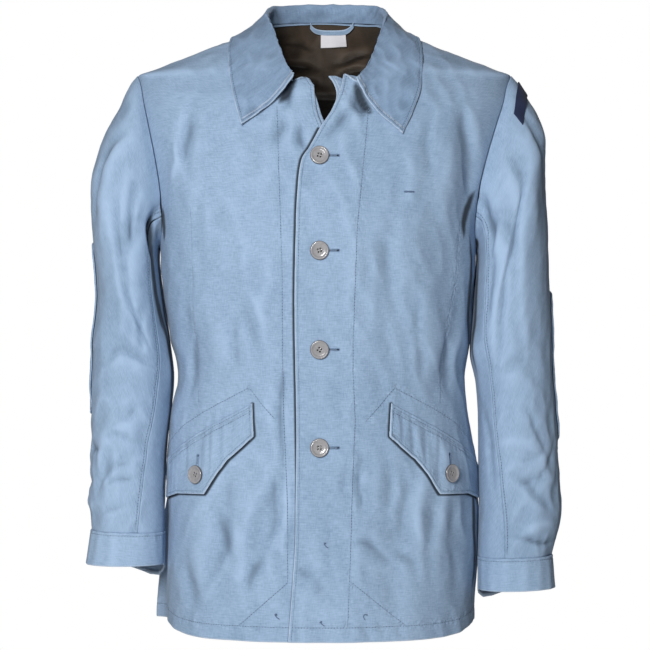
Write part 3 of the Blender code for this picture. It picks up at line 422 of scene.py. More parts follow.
def front_inner(share, side):
    """The inner boundary of a front above the underarm: up its edge, then round the neck."""
    rows, corner = (NECK_LEFT, CORNER_LEFT) if side > 0 else (NECK_RIGHT, CORNER_RIGHT)
    edge_height = UNDERARM + (corner - UNDERARM) * np.clip(share / EDGE_SHARE, 0, 1)
    along = np.clip((share - EDGE_SHARE) / (1 - EDGE_SHARE), 0, 1)
    neck_height = read(rows, "height", along, "share")
    neck = turn_at(read(rows, "x", along, "share"), neck_height, -1)
    neck = np.where(along >= 1, seam_turn(neck_height, side, -1), neck)
    on_edge = share <= EDGE_SHARE
    turn = np.where(on_edge, front_edge_turn(edge_height, side), neck)
    return turn, np.where(on_edge, edge_height, neck_height)


def blend_sides(bottom, top, start, end, u, v):
    """Fills the inside of four boundary lines: the two ruled surfaces, less the one through the corners."""
    ruled = (1 - v) * bottom + v * top + (1 - u) * start + u * end
    corners = (1 - u) * (1 - v) * bottom[:, :1] + u * (1 - v) * bottom[:, -1:]
    return ruled - corners - (1 - u) * v * top[:, :1] - u * v * top[:, -1:]


def hem_rise(turn, height):
    """The hem curves up towards the side seams, and the rows above it follow less and less."""
    near_hem = np.clip((UNDERARM - height) / (UNDERARM - HEM), 0, 1) ** 3
    return HEM_RISE * np.abs(np.cos(np.radians(turn))) ** 10 * near_hem


def spaced(length, fine, coarse, start=True, end=True):
    """Places from 0 to 1, fine apart at the chosen ends and growing to coarse between them."""
    at = np.linspace(0, length, 2000)
    far = np.minimum(at if start else 1.0 + 0 * at, length - at if end else 1.0 + 0 * at)
    dense = 1 / np.minimum(coarse, fine + 0.22 * far)
    run = np.concatenate([[0], np.cumsum((dense[1:] + dense[:-1]) / 2 * np.diff(at))])
    return np.interp(np.linspace(0, run[-1], int(run[-1]) + 2), run, at / length)


def placket_lift(x):
    """The left front lies one layer out where it laps over the right."""
    share = np.clip((PLACKET_END - x) / (PLACKET_END - PLACKET_FULL), 0, 1)
    return (SOLID_LAYER + SEAM_GAP) * share * share * (3 - 2 * share)


def front_grid(side, across, low, high):
    """A front from its edge to its side seam, and from hem to shoulder: straight below the underarm,
    and between its four boundary lines above it."""
    u, v = across[None, :], high[:, None]
    heights = HEM + (UNDERARM - HEM) * low[:, None]
    low_turn = (1 - u) * front_edge_turn(heights, side) + u * seam_turn(heights, side, -1)
    low_height = heights + hem_rise(low_turn, heights)
    start_turn, start_height = front_inner(v, side)
    end_turn, end_height = armhole(v, side, -1)
    top_height = start_height[-1, 0] + (SHOULDER_TIP - start_height[-1, 0]) * u
    high_turn = blend_sides(low_turn[-1:], seam_turn(top_height, side, -1), start_turn, end_turn, u, v)
    high_height = blend_sides(low_height[-1:], top_height, start_height, end_height, u, v)
    return np.concatenate([low_turn, high_turn[1:]]), np.concatenate([low_height, high_height[1:]])


# Distances are kept up to FAR, and measured square to a line within BESIDE_LINE of it.
FAR = 0.05
BESIDE_LINE = 0.003
# How cloth is carried round an edge: steps outward and inward from the edge, in metres.
FOLD = ((0.0004, -0.0004), (0.0001, -0.0010), (-0.0060, -0.0012))
SLIM_FOLD = ((0.0003, -0.0003), (0.0, -0.0007), (-0.0050, -0.0009))
SEAM = ((-0.0002, -0.0014), (-0.0008, -0.0036))
EDGE_PLACES = {"start": (1, 0, 2), "end": (1, -1, -3), "first": (0, 0, 2), "last": (0, -1, -3)}


def finish_edges(grid, facing, edges):
    """Adds rows or columns past the named edges, so that the cloth goes round a fold or down a seam."""
    for name, steps in edges.items():
        axis, edge, inner = EDGE_PLACES[name]
        line, normal = grid.take([edge], axis), facing.take([edge], axis)
        outward = unit(line - grid.take([inner], axis))
        added = [line + outward * out + normal * inward for out, inward in steps]
        normals = [normal] * len(steps)
        if edge == 0:
            grid = np.concatenate([*added[::-1], grid], axis)
            facing = np.concatenate([*normals, facing], axis)
        else:
            grid = np.concatenate([grid, *added], axis)
            facing = np.concatenate([facing, *normals], axis)
    return grid, facing


def lengths_along(grid):
    """Each point's length along its row and along its column."""
    across = np.linalg.norm(np.diff(grid, axis=1), axis=-1)
    down = np.linalg.norm(np.diff(grid, axis=0), axis=-1)
    across = np.concatenate([0 * across[:, :1], np.cumsum(across, axis=1)], axis=1)
    down = np.concatenate([0 * down[:1], np.cumsum(down, axis=0)], axis=0)
    return across, down


def reach_from(grid, names):
    """How far each point of a grid lies from the named edges, along the cloth."""
    across, down = lengths_along(grid)
    found = {"start": across, "end": across[:, -1:] - across, "first": down, "last": down[-1:] - down}
    return np.minimum.reduce([found[name] for name in names] + [np.full(across.shape, FAR)])


def run_along(line):
    """The length along a line from its start to each of its points."""
    return np.concatenate([[0], np.cumsum(np.linalg.norm(np.diff(line, axis=0), axis=-1))])


def at_lengths(places, run, values):
    """A line's values, such as its points, at these lengths along it."""
    return np.stack([np.interp(places, run, values[..., k]) for k in range(values.shape[-1])], -1)


def beside(grid, facing, name, away, trims=(0.0, 0.0)):
    """The line this far inside a grid's named edge, less a trim at each end, and the way it faces."""
    axis, edge, inner = EDGE_PLACES[name]
    line, normal = grid.take(edge, axis), facing.take(edge, axis)
    line = line + unit(grid.take(inner, axis) - line) * away
    run = run_along(line)
    places = np.linspace(trims[0], run[-1] - trims[1], max(int(run[-1] * 1000), 4))
    return at_lengths(places, run, line), unit(at_lengths(places, run, normal))


def squares_between(points, line):
    """The squared distance from each point to each of a line's points."""
    return (points**2).sum(1)[:, None] + (line**2).sum(1)[None, :] - 2 * points @ line.T


def from_lines(points, lines):
    """The signed distance aside from the nearest stitch line, and the plain distance to it."""
    flat = points.reshape(-1, 3)
    near, aside = np.full(len(flat), FAR), np.full(len(flat), FAR)
    for line, facing in lines:
        nearest = squares_between(flat, line).argmin(1)
        offset = flat - line[nearest]
        tangent = unit(np.gradient(line, axis=0))[nearest]
        sideways = (offset * unit(np.cross(facing[nearest], tangent))).sum(1)
        distance = np.linalg.norm(offset, axis=1)
        distance = np.where(distance < BESIDE_LINE, np.abs(sideways), distance)
        closer = distance < near
        near, aside = np.where(closer, distance, near), np.where(closer, sideways, aside)
    return aside.reshape(points.shape[:2]), near.reshape(points.shape[:2])


def hollow_of(points, lines):
    """The distance to the nearest hollow's line less its reach there, which falls off with |2s - 1| cubed to
    a point at either end, s being the share of the line."""
    flat = points.reshape(-1, 3)
    least = np.full(len(flat), FAR)
    for line, _ in lines:
        square = squares_between(flat, line)
        share = square.argmin(1) / (len(line) - 1)
        reach = HOLLOW_REACH - HOLLOW_TAPER * np.abs(2 * share - 1) ** 3
        least = np.minimum(least, np.sqrt(np.maximum(square.min(1), 0)) - reach)
    return least.reshape(points.shape[:2])


def relief_of(grid, facing, reach=0.011):
    """How far each point stands out from its surroundings: the grid less its own average within reach."""
    out = grid
    for axis in (0, 1):
        gap = np.linalg.norm(np.diff(grid, axis=axis), axis=-1).mean()
        half = max(int(reach / gap), 1)
        pad = [(0, 0)] * 3
        pad[axis] = (half + 1, half)
        for _ in range(2):
            run = np.cumsum(np.pad(out, pad, mode="reflect", reflect_type="odd"), axis=axis)
            size = run.shape[axis]
            ahead, behind = np.arange(2 * half + 1, size), np.arange(0, size - 2 * half - 1)
            out = (run.take(ahead, axis) - run.take(behind, axis)) / (2 * half + 1)
    return ((grid - out) * facing).sum(-1)


def edge_form(away):
    """A stitched edge is plump between its fold and its stitches, and pulled in at both."""
    plump = EDGE_PLUMP * np.exp(-(((away - EDGE_STITCH / 2) / (EDGE_STITCH / 2.8)) ** 2))
    pulled = STITCH_PULL * np.exp(-(((away - EDGE_STITCH) / STITCH_GROOVE) ** 2))
    return plump - pulled - STITCH_PULL * np.clip(1 - away / EDGE_ROUND, 0, 1) ** 2


def add(tree, kind, inputs=(), **settings):
    """A shader node of this kind with its settings. Each input is a number, a colour or a link."""
    made = tree.nodes.new("ShaderNode" + kind)
    for name, value in settings.items():
        setattr(made, name, value)
    for name, value in dict(inputs).items():
        if isinstance(value, bpy.types.NodeSocket):
            tree.links.new(value, made.inputs[name])
        else:
            made.inputs[name].default_value = value
    return made


def calc(tree, operation, a, b=0.0, c=0.0):
    """A Math node's result."""
    return add(tree, "Math", {0: a, 1: b, 2: c}, operation=operation).outputs[0]


def step(tree, value, low, high, to_low=0.0, to_high=1.0):
    """A smooth step of value from low to high."""
    inputs = {"Value": value, "From Min": low, "From Max": high, "To Min": to_low, "To Max": to_high}
    return add(tree, "MapRange", inputs, interpolation_type="SMOOTHSTEP").outputs[0]


def noise(tree, vector, scale, detail=2.0, roughness=0.5):
    """Soft noise, 0 to 1."""
    inputs = {"Vector": vector, "Scale": scale, "Detail": detail, "Roughness": roughness}
    return add(tree, "TexNoise", inputs).outputs["Fac"]


def mix(tree, share, a, b):
    """Colour a, mixed with colour b by share."""
    return add(tree, "Mix", {0: share, 6: a, 7: b}, data_type="RGBA").outputs[2]


def new_effect(name, inputs, outputs):
    """A shader node group with named inputs and outputs."""
    group = bpy.data.node_groups.new(name, "ShaderNodeTree")
    for socket, kind, value in inputs:
        made = group.interface.new_socket(socket, in_out="INPUT", socket_type="NodeSocket" + kind)
        if value is not None:
            made.default_value = value
    for socket in outputs:
        group.interface.new_socket(socket, in_out="OUTPUT", socket_type="NodeSocketFloat")
    return group, group.nodes.new("NodeGroupInput").outputs, group.nodes.new("NodeGroupOutput").inputs


def effect(tree, group, **inputs):
    """A node group placed in a material."""
    made = tree.nodes.new("ShaderNodeGroup")
    made.node_tree = group
    for name, value in inputs.items():
        socket = made.inputs[name.capitalize()]
        if isinstance(value, bpy.types.NodeSocket):
            tree.links.new(value, socket)
        else:
            socket.default_value = value
    return made.outputs


# Woven yarns: slubs run along both ways of the cloth, most along the weft, over a fine plain weave.
WEFT_SLUBS = (95.0, 640.0, 1.0)
WARP_SLUBS = (760.0, 130.0, 1.0)
YARN_PITCH = 0.0007
weave, given, out = new_effect(
    "woven yarns", [("Cut", "Vector", None), ("Pitch", "Float", YARN_PITCH)], ["Tint", "Height"]
)
weft = add(weave, "VectorMath", {0: given["Cut"], 1: WEFT_SLUBS}, operation="MULTIPLY").outputs[0]
warp = add(weave, "VectorMath", {0: given["Cut"], 1: WARP_SLUBS}, operation="MULTIPLY").outputs[0]
weft, warp = noise(weave, weft, 1.0, 2.0, 0.6), noise(weave, warp, 1.0, 1.0, 0.5)
both = calc(weave, "MULTIPLY_ADD", weft, 0.62, calc(weave, "MULTIPLY", warp, 0.38))
apart = add(weave, "SeparateXYZ", {0: given["Cut"]}).outputs
turns = calc(weave, "DIVIDE", 2 * math.pi, given["Pitch"])
yarns = [calc(weave, "SINE", calc(weave, "MULTIPLY", apart[k], turns)) for k in range(2)]
weave.links.new(both, out["Tint"])
weave.links.new(calc(weave, "MULTIPLY_ADD", calc(weave, "MULTIPLY", *yarns), 0.12, both), out["Height"])

# Wear: the dye is rubbed off the outside of every fold and edge, unevenly.
rubbed, given, out = new_effect(
    "rubbed edge", [("Away", "Float", 0.01), ("Width", "Float", 0.0018), ("Cut", "Vector", None)], ["Share"]
)
uneven = noise(rubbed, given["Cut"], 160.0, 3.0)
width = calc(rubbed, "MULTIPLY", given["Width"], calc(rubbed, "MULTIPLY_ADD", uneven, 1.1, 0.45))
edge_share = calc(rubbed, "DIVIDE", given["Away"], width)
rubbed.links.new(step(rubbed, edge_share, 0.35, 1.0, 1.0, 0.0), out["Share"])

# Stitch lines: dirt and shade lie in the groove, and the cloth beside it is puckered.
sewn, given, out = new_effect(
    "sewn line",
    [("Aside", "Float", 0.01), ("Near", "Float", 0.01), ("Width", "Float", 0.0008), ("Cut", "Vector", None)],
    ["Groove", "Pucker"],
)
line = step(sewn, calc(sewn, "ABSOLUTE", given["Aside"]), 0.0, given["Width"], 1.0, 0.0)
line = calc(sewn, "MULTIPLY", line, step(sewn, given["Near"], 0.002, 0.004, 1.0, 0.0))
sewn.links.new(line, out["Groove"])
puckers = calc(sewn, "SUBTRACT", noise(sewn, given["Cut"], 210.0, 1.0), 0.5)
puckers = calc(sewn, "MULTIPLY", puckers, step(sewn, given["Near"], 0.001, 0.010, 1.0, 0.0))
sewn.links.new(puckers, out["Pucker"])

# Fading: broad and small patches where washing has taken the dye unevenly.
faded, given, out = new_effect("washed fading", [("Place", "Vector", None)], ["Broad", "Fine"])
faded.links.new(noise(faded, given["Place"], 6.0, 2.0), out["Broad"])
faded.links.new(noise(faded, given["Place"], 70.0, 3.0, 0.6), out["Fine"])


def new_material(name, rough, gloss):
    """A material with its node tree and its main shader, this rough and glossy."""
    material = bpy.data.materials.new(name)
    material.use_nodes = True
    shader = material.node_tree.nodes["Principled BSDF"]
    shader.inputs["Roughness"].default_value = rough
    shader.inputs["Specular IOR Level"].default_value = gloss
    return material, material.node_tree, shader


def tinted(colour, share):
    """A colour made this much darker or lighter, as a node takes it."""
    return (*[part * share for part in colour], 1)


# Relief paints shade into a trough and a highlight onto a ridge between these two heights. Cloth under
# another piece's edge and cloth in a hollow are painted in the deepest shade within these distances.
TROUGH = (-0.0036, 0.0002)
RIDGE = (0.0, 0.0024)
UNDER_EDGE = (0.0010, 0.0036)
UNDER_REACH = (0.0040, 0.0070)
HOLLOW_SHADE = (0.0, 0.0070)
DEEPEST = 0.93


def cloth_material(name, deep, plain, pale, rough, slub, wear=1.0, crumpled=1.0, shaded=None):
    """Woven cloth: its colour varies with yarns, washing, stitch grooves and rubbed edges, and the same
    effects raise its surface. Painted shade darkens its troughs, its stitch grooves, the cloth under other
    pieces' edges and its hollows, and a painted highlight pales its ridges. Colours are linear red, green
    and blue. Where shaded is given, the cloth deep inside the jacket is painted in shade, deepest below
    the lower shaded height and fading out at the upper."""
    material, tree, shader = new_material(name, rough, 0.22)
    shader.inputs["Sheen Weight"].default_value = 0.06
    cut = add(tree, "UVMap", uv_map="cut").outputs[0]
    place = add(tree, "TexCoord").outputs["Object"]
    edge, aside, near, over, covered, hollow, relief = (
        add(tree, "Attribute", attribute_name=name).outputs["Fac"]
        for name in ("worn", "aside", "near", "over", "covered", "hollow", "relief")
    )
    yarn = effect(tree, weave, cut=cut)
    worn = effect(tree, rubbed, away=edge, width=0.0009, cut=cut)["Share"]
    seams = effect(tree, sewn, aside=aside, near=near, cut=cut)
    wash = effect(tree, faded, place=place)
    fade = calc(tree, "MULTIPLY_ADD", calc(tree, "SUBTRACT", wash["Broad"], 0.5), 0.9, 0.5)
    fade = calc(tree, "MULTIPLY_ADD", calc(tree, "SUBTRACT", wash["Fine"], 0.5), 0.55, fade)
    fade = calc(tree, "MULTIPLY_ADD", calc(tree, "SUBTRACT", yarn["Tint"], 0.5), slub, fade)
    fade = add(tree, "Clamp", {0: fade}).outputs[0]
    colour = mix(tree, fade, tinted(deep, 1), tinted(plain, 1))
    # Painted shade in the troughs and a painted highlight on the ridges, from the relief.
    colour = mix(tree, step(tree, relief, *TROUGH, 0.78, 0.0), colour, tinted(deep, 0.42))
    colour = mix(tree, step(tree, relief, *RIDGE, 0.0, 0.60), colour, tinted(plain, 1.18))
    # Dirt and painted shade in the stitch grooves.
    colour = mix(tree, calc(tree, "MULTIPLY", seams["Groove"], 0.20), colour, tinted(deep, 0.28))
    colour = mix(tree, calc(tree, "MULTIPLY", worn, wear), colour, tinted(pale, 1))
    # Painted shadow under another piece's edge, and painted shade in the hollows.
    under = step(tree, calc(tree, "ABSOLUTE", over), *UNDER_EDGE, DEEPEST, 0.0)
    under = calc(tree, "MULTIPLY", under, step(tree, covered, *UNDER_REACH, 1.0, 0.0))
    under = calc(tree, "MAXIMUM", under, step(tree, hollow, *HOLLOW_SHADE, 0.92, 0.0))
    colour = mix(tree, under, colour, tinted(deep, 0.06))
    # Painted shade deep inside the jacket, darker towards the bottom.
    if shaded:
        height = add(tree, "SeparateXYZ", {0: place}).outputs[2]
        colour = mix(tree, step(tree, height, *shaded, DEEPEST, 0.0), colour, tinted(deep, 0.10))
    tree.links.new(colour, shader.inputs["Base Color"])
    soft = calc(tree, "MULTIPLY_ADD", seams["Groove"], -0.25, seams["Pucker"])
    low = add(tree, "Bump", {"Height": soft, "Distance": 0.0016, "Strength": 0.9 * crumpled}).outputs[0]
    fine = {"Height": wash["Fine"], "Distance": 0.0012, "Strength": 0.35 * crumpled, "Normal": low}
    low = add(tree, "Bump", fine).outputs[0]
    top = add(tree, "Bump", {"Height": yarn["Height"], "Distance": 0.00026, "Strength": 0.8, "Normal": low})
    tree.links.new(top.outputs[0], shader.inputs["Normal"])
    return material


blue = cloth_material(
    "blue cotton", (0.205, 0.306, 0.445), (0.340, 0.462, 0.628), (0.52, 0.63, 0.77), 0.84, 2.3, 0.60
)


def plain_material(name, colour, rough, gloss=0.3):
    """A smooth material with a little unevenness in its tone."""
    material, tree, shader = new_material(name, rough, gloss)
    tone = noise(tree, add(tree, "TexCoord").outputs["Object"], 300.0, 2.0)
    tree.links.new(mix(tree, tone, tinted(colour, 0.8), tinted(colour, 1.2)), shader.inputs["Base Color"])
    return material


blue_thread = plain_material("blue thread", (0.235, 0.335, 0.500), 0.8)
# Dark grains between the stitches are painted shade in the needle holes.
needle_shade = plain_material("needle hole", (0.040, 0.065, 0.115), 1.0, 0.0)


def new_piece(name, points, faces, material, nodes=()):
    """A mesh object at the origin, riding on the jacket, in place of the named solids. Faces may be an
    array, or a list where they differ in their number of corners."""
    mesh = bpy.data.meshes.new(name)
    faces = faces if isinstance(faces, list) else faces.tolist()
    mesh.from_pydata(np.asarray(points).reshape(-1, 3).tolist(), [], faces)
    mesh.update()
    mesh.shade_smooth()
    mesh.materials.append(material)
    piece = bpy.data.objects.new(name, mesh)
    bpy.context.scene.collection.objects.link(piece)
    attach(piece, "root")
    if nodes:
        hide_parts(*nodes)
    return piece


def keep_values(mesh, **named):
    """Keeps one value a point under each name, as attributes that the material reads."""
    for title, values in named.items():
        mesh.attributes.new(title, "FLOAT", "POINT").data.foreach_set("value", values.ravel())


def thicken(piece, thick):
    """Makes a surface a wall of this thickness, half of it on either side."""
    wall = piece.modifiers.new("wall", "SOLIDIFY")
    wall.thickness = thick
    wall.offset = 0.0


STITCH_LONG = 0.0023
STITCH_GAP = 0.0013
STITCH_HALF = 0.00042
STITCH_RISE = 0.00030
HOLE_HALF = 0.00052
HOLE_RISE = 0.00016
STITCH_SINK = 0.0003
ON_FACE = COTTON_THICK / 2 + 0.0001


def stitch_row(line, facing):
    """A row of stitches along a line: each is a slim eight-sided grain, and so is the hole between two,
    painted dark as the hole's shade. Returns the points of the threads and of the holes."""
    run = run_along(line)
    start = np.arange(0, run[-1] - STITCH_LONG, STITCH_LONG + STITCH_GAP)

    def grains(begin, length, half, up, lift):
        head, tail = at_lengths(begin, run, line), at_lengths(begin + length, run, line)
        normal, along = unit(at_lengths(begin + length / 2, run, facing)), unit(tail - head)
        sideways = np.cross(along, normal) * half
        middle = (head + tail) / 2 + normal * lift
        ends = [head + normal * (lift - up * 0.7), tail + normal * (lift - up * 0.7)]
        sides = [middle + sideways, middle - sideways, middle + normal * up, middle - normal * up]
        return np.stack(ends + sides, 1)

    threads = grains(start, STITCH_LONG, STITCH_HALF, STITCH_RISE, ON_FACE - STITCH_SINK)
    between = start[1:] - STITCH_GAP * 0.97
    holes = grains(between, STITCH_GAP * 0.95, HOLE_HALF, HOLE_RISE, ON_FACE + 0.00002 - STITCH_SINK)
    return threads, holes


def sew(name, rows):
    """Rows of stitches, as one piece of thread and one of needle holes painted dark as their shade."""
    grain = np.array([(0, 2, 4), (0, 4, 3), (0, 3, 5), (0, 5, 2), (1, 4, 2), (1, 3, 4), (1, 5, 3), (1, 2, 5)])
    for title, place, material in ((name, 0, blue_thread), (name + "_holes", 1, needle_shade)):
        points = np.concatenate([row[place] for row in rows])
        faces = (grain[None] + 6 * np.arange(len(points))[:, None, None]).reshape(-1, 3)
        new_piece(title, points, faces, material)


def cloth(name, node, grid, sign, edges, stitched=(), drawn=(), seams=(), material=blue,
          thick=COTTON_THICK, worn=True, turned=False, covered=(), hollows=()):
    """A panel of cloth: a grid of points made a wall, with its edges folded or seamed. It has a row of
    stitches inside each stitched edge and along each drawn line, and a groove along each seam. It keeps
    its lengths along the cloth as its UV map, and its distances to edges and stitches as attributes, and to
    the covered lines, where another piece's edge lies on it and the material paints shade. Hollows get
    the same painted shade more broadly. Its relief is kept too, for painted shade in troughs and a painted
    highlight on ridges."""
    facing = unit(np.cross(np.gradient(grid, axis=1), np.gradient(grid, axis=0))) * sign
    rows = [beside(grid, facing, edge, EDGE_STITCH, trims) for edge, trims in dict(stitched).items()]
    lines = rows + list(drawn) + list(seams)
    relief = relief_of(grid, facing)
    if stitched:
        grid = grid + facing * edge_form(reach_from(grid, stitched))[..., None]
    inner = from_lines(grid, list(drawn) + list(seams))[1]
    grid = grid - facing * (STITCH_PULL * np.exp(-((inner / SEAM_GROOVE) ** 2)))[..., None]
    folded = [edge for edge, steps in edges.items() if len(steps) == 3]
    away = reach_from(grid, folded if worn else [])
    grid, facing = finish_edges(grid, facing, edges)
    added = {edge: len(edges.get(edge, ())) for edge in EDGE_PLACES}
    margin = (added["first"], added["last"]), (added["start"], added["end"])
    relief, away = np.pad(relief, margin, mode="edge"), np.pad(away, margin, mode="edge")
    index = np.arange(grid.shape[0] * grid.shape[1]).reshape(grid.shape[:2])
    faces = np.stack([index[:-1, :-1], index[:-1, 1:], index[1:, 1:], index[1:, :-1]], -1).reshape(-1, 4)
    piece = new_piece(name, grid, faces if sign > 0 else faces[:, ::-1], material, [node])
    mesh = piece.data
    across, down = lengths_along(grid)
    corner = np.empty(len(mesh.loops), int)
    mesh.loops.foreach_get("vertex_index", corner)
    cut = np.stack([down, across] if turned else [across, down], -1).reshape(-1, 2)
    mesh.uv_layers.new(name="cut").data.foreach_set("uv", cut[corner].ravel())
    aside, near = from_lines(grid, lines)
    over, under = from_lines(grid, covered)
    keep_values(mesh, worn=away, aside=aside, near=near, over=over, covered=under,
                hollow=hollow_of(grid, hollows), relief=relief)
    thicken(piece, thick)
    if rows or drawn:
        sew(name + "_stitches", [stitch_row(*row) for row in rows + list(drawn)])


# Stitch lines of the fronts, as x and height: the facings, the tacks across the hem's corners, the darts.
FACING_RIGHT_LINE = (
    (-0.0541, -0.0980), (-0.0518, -0.1670), (-0.0495, -0.2285), (-0.0472, -0.3060), (-0.0472, -0.4000),
    (-0.0456, -0.4755), (-0.0430, -0.5270), (-0.0406, -0.5730), (-0.0406, -0.6700), (-0.0996, -0.7225),
)
FACING_LEFT_LINE = (
    (0.0570, -0.0980), (0.0520, -0.1515), (0.0465, -0.2055), (0.0426, -0.2440), (0.0408, -0.2900),
    (0.0377, -0.3840), (0.0374, -0.4175), (0.0402, -0.4755), (0.0377, -0.5370), (0.0362, -0.5730),
    (0.0341, -0.6465), (0.0310, -0.7225),
)
CORNER_LEFT_LINE = ((0.0352, -0.6690), (0.0680, -0.6960), (0.0998, -0.7215))
DART_RIGHT_LINE = ((-0.1583, -0.2230), (-0.1558, -0.3400), (-0.1534, -0.4170), (-0.1500, -0.4560))
DART_LEFT_LINE = (
    (0.1680, -0.2400), (0.1614, -0.3145), (0.1541, -0.3550), (0.1460, -0.4145), (0.1450, -0.4520)
)
# Stitch lines over the pockets, as lengths along the flap's seam and down from it.
POCKET_TOP_LINE = ((-0.004, -0.0195), (0.100, -0.0215), (0.190, -0.0160))
POCKET_BAG_LINE = ((-0.004, -0.0195), (-0.012, 0.0080), (-0.019, 0.0290))
FLAP_START = 0.0870
FLAP_TOP = -0.4560
FLAP_SLOPE = 26.5
FLAP_LEVEL = -0.500
FLAP_WIDTH = 0.2
FLAP_SHADE = 0.0008
# The flap's cut lying flat: how deep it is below its seam, and how far its ends lean in.
FLAP = (
    ("along", "deep"),
    (0.000, 0.0365),
    (0.022, 0.0425),
    (0.046, 0.0475),
    (0.070, 0.0580),
    (0.100, 0.0725),
    (0.130, 0.0605),
    (0.154, 0.0512),
    (0.178, 0.0460),
    (0.200, 0.0405),
)
FLAP_END_LEAN = 0.014
# Where the collar's front ends and the armholes stand off the fronts, the cloth below is painted in deep
# shade.
HOLLOWS = {
    1: (
        ((0.0395, -0.0640), (0.0465, -0.0840), (0.0530, -0.0965), (0.0625, -0.1080)),
        ((0.1905, -0.1940), (0.1838, -0.2070), (0.1778, -0.2200), (0.1738, -0.2350), (0.1718, -0.2570)),
        ((0.1790, -0.2450), (0.1810, -0.2800), (0.1790, -0.3400), (0.1800, -0.4000)),
        ((0.1870, -0.5300), (0.1860, -0.5900), (0.1870, -0.6600), (0.1860, -0.7000)),
    ),
    -1: (
        ((-0.0300, -0.0560), (-0.0365, -0.0670), (-0.0430, -0.0790), (-0.0525, -0.0940)),
        ((-0.1960, -0.2140), (-0.1955, -0.2330), (-0.1930, -0.2590)),
    ),
}


def line_through(rows, spacing=0.001):
    """A table's points joined by straight runs, one point each millimetre."""
    points = np.array(rows, float)
    run = run_along(points)
    return at_lengths(np.linspace(0, run[-1], int(run[-1] / spacing) + 2), run, points)


def on_body(turn, height, lift=0.0):
    """Points of the body's cloth, moved out by lift, and the way that it faces there."""
    return panel_point(turn, height, lift), body_facing(turn, height)


def front_line(rows, side):
    """A line drawn on a front, as points on the cloth and the way it faces there."""
    x, height = line_through(rows).T
    return on_body(turn_at(x, height, -1), height, placket_lift(x) if side > 0 else 0.0)


def hem_line(turns, side=0):
    """The hem's stitches, one hem's depth above its fold."""
    height = HEM + HEM_DEPTH + hem_rise(turns, HEM + HEM_DEPTH)
    return on_body(turns, height, placket_lift(body_point(turns, height)[:, 0]) if side > 0 else 0.0)


def turn_of_arc(across, side):
    """The turn that lies this far from the middle of the front, measured along the cloth."""
    turns = np.linspace(-90, 0 if side > 0 else -180, 181)
    return np.interp(across, run_along(body_point(turns, np.full(turns.shape, FLAP_LEVEL))), turns)


def pocket_place(side, along, deep):
    """Turn and height of a place on the pocket: along its slanted seam, and square down from it."""
    slope = math.radians(FLAP_SLOPE)
    across = FLAP_START + along * math.cos(slope) - deep * math.sin(slope)
    return turn_of_arc(across, side), FLAP_TOP - along * math.sin(slope) - deep * math.cos(slope)


def flap_depth(along):
    """The flap's depth: straight runs between the table's places, so that its point stays sharp."""
    return np.interp(along, column(FLAP, "along"), column(FLAP, "deep"))


def flap_lean(along):
    """How far the flap's free edge lies along from its seam: in at both ends, and not at its middle."""
    return FLAP_END_LEAN * (1 - 2 * along / FLAP_WIDTH)


def flap_edge(side):
    """Where the flap's free edge lies on the front: down one end, along the points, and up the other."""
    along, down = np.linspace(0, FLAP_WIDTH, 260), np.linspace(0.1, 1, 40)
    deep = flap_depth(along)
    first = pocket_place(side, FLAP_END_LEAN * down - FLAP_SHADE, deep[0] * down)
    low = pocket_place(side, along + flap_lean(along), deep + FLAP_SHADE)
    up = down[::-1]
    last = pocket_place(side, FLAP_WIDTH + FLAP_SHADE - FLAP_END_LEAN * up, deep[-1] * up)
    return on_body(*(np.concatenate(parts) for parts in zip(first, low, last)))


def pocket_line(side, rows):
    """A line drawn in the pocket's own measures."""
    return on_body(*pocket_place(side, *line_through(rows).T))


FRONT_WIDE = 0.30
LOW_LONG = 0.479
HIGH_LONG = 0.25
EDGE_STITCH_STOP = 0.145
HEM_STITCH_EDGE = 1.2
HEM_STITCH_SIDE = 0.4
# Beside the left front's edge, the right front is painted in shade from this height down. By turn, the
# painted shade lies further under the left front above the lowest button than below.
LAP_TOP = -0.128
LAP_CHANGE = -0.53
LAP_BLEND = 0.02
LAP_TURN_ABOVE = -0.35
LAP_TURN_BELOW = 0.30
level = np.array(HEM + HEM_DEPTH)
for side, name in SIDES:
    low, high = spaced(LOW_LONG, 0.0014, 0.0034, end=False), spaced(HIGH_LONG, 0.0014, 0.0034, start=False)
    turn, height = front_grid(side, spaced(FRONT_WIDE, 0.0009, 0.0034), low, np.union1d(high, [EDGE_SHARE]))
    x = body_point(turn, height)[..., 0]
    grid = panel_point(turn, height, placket_lift(x) if side > 0 else 0.0)
    own = (FACING_LEFT_LINE, CORNER_LEFT_LINE) if side > 0 else (FACING_RIGHT_LINE,)
    drawn = [front_line(rows, side) for rows in own]
    drawn += [pocket_line(side, POCKET_TOP_LINE), pocket_line(side, POCKET_BAG_LINE)]
    ends = float(front_edge_turn(level, side)), float(seam_turn(level, side, -1))
    ends = ends[0] + side * HEM_STITCH_EDGE, ends[1] - side * HEM_STITCH_SIDE
    drawn.append(hem_line(np.linspace(*ends, 400), side))
    dart = front_line(DART_LEFT_LINE if side > 0 else DART_RIGHT_LINE, side)
    # Painted shadow under each flap's edge, and on the right front beside the left front's edge.
    covered = [flap_edge(side)]
    if side < 0:
        heights = np.linspace(HEM + 0.004, LAP_TOP, 640)
        below = 1 / (1 + np.exp((heights - LAP_CHANGE) / LAP_BLEND))
        turns = front_edge_turn(heights, 1) + LAP_TURN_ABOVE + (LAP_TURN_BELOW - LAP_TURN_ABOVE) * below
        covered.append(on_body(turns, heights))
    edges = {"start": FOLD, "end": SEAM, "last": SEAM, "first": FOLD}
    cloth(f"{name}_front", f"front_{name}", grid, side, edges, stitched={"start": (0.0, EDGE_STITCH_STOP)},
          drawn=drawn, seams=[dart], covered=covered,
          hollows=[front_line(rows, side) for rows in HOLLOWS[side]])

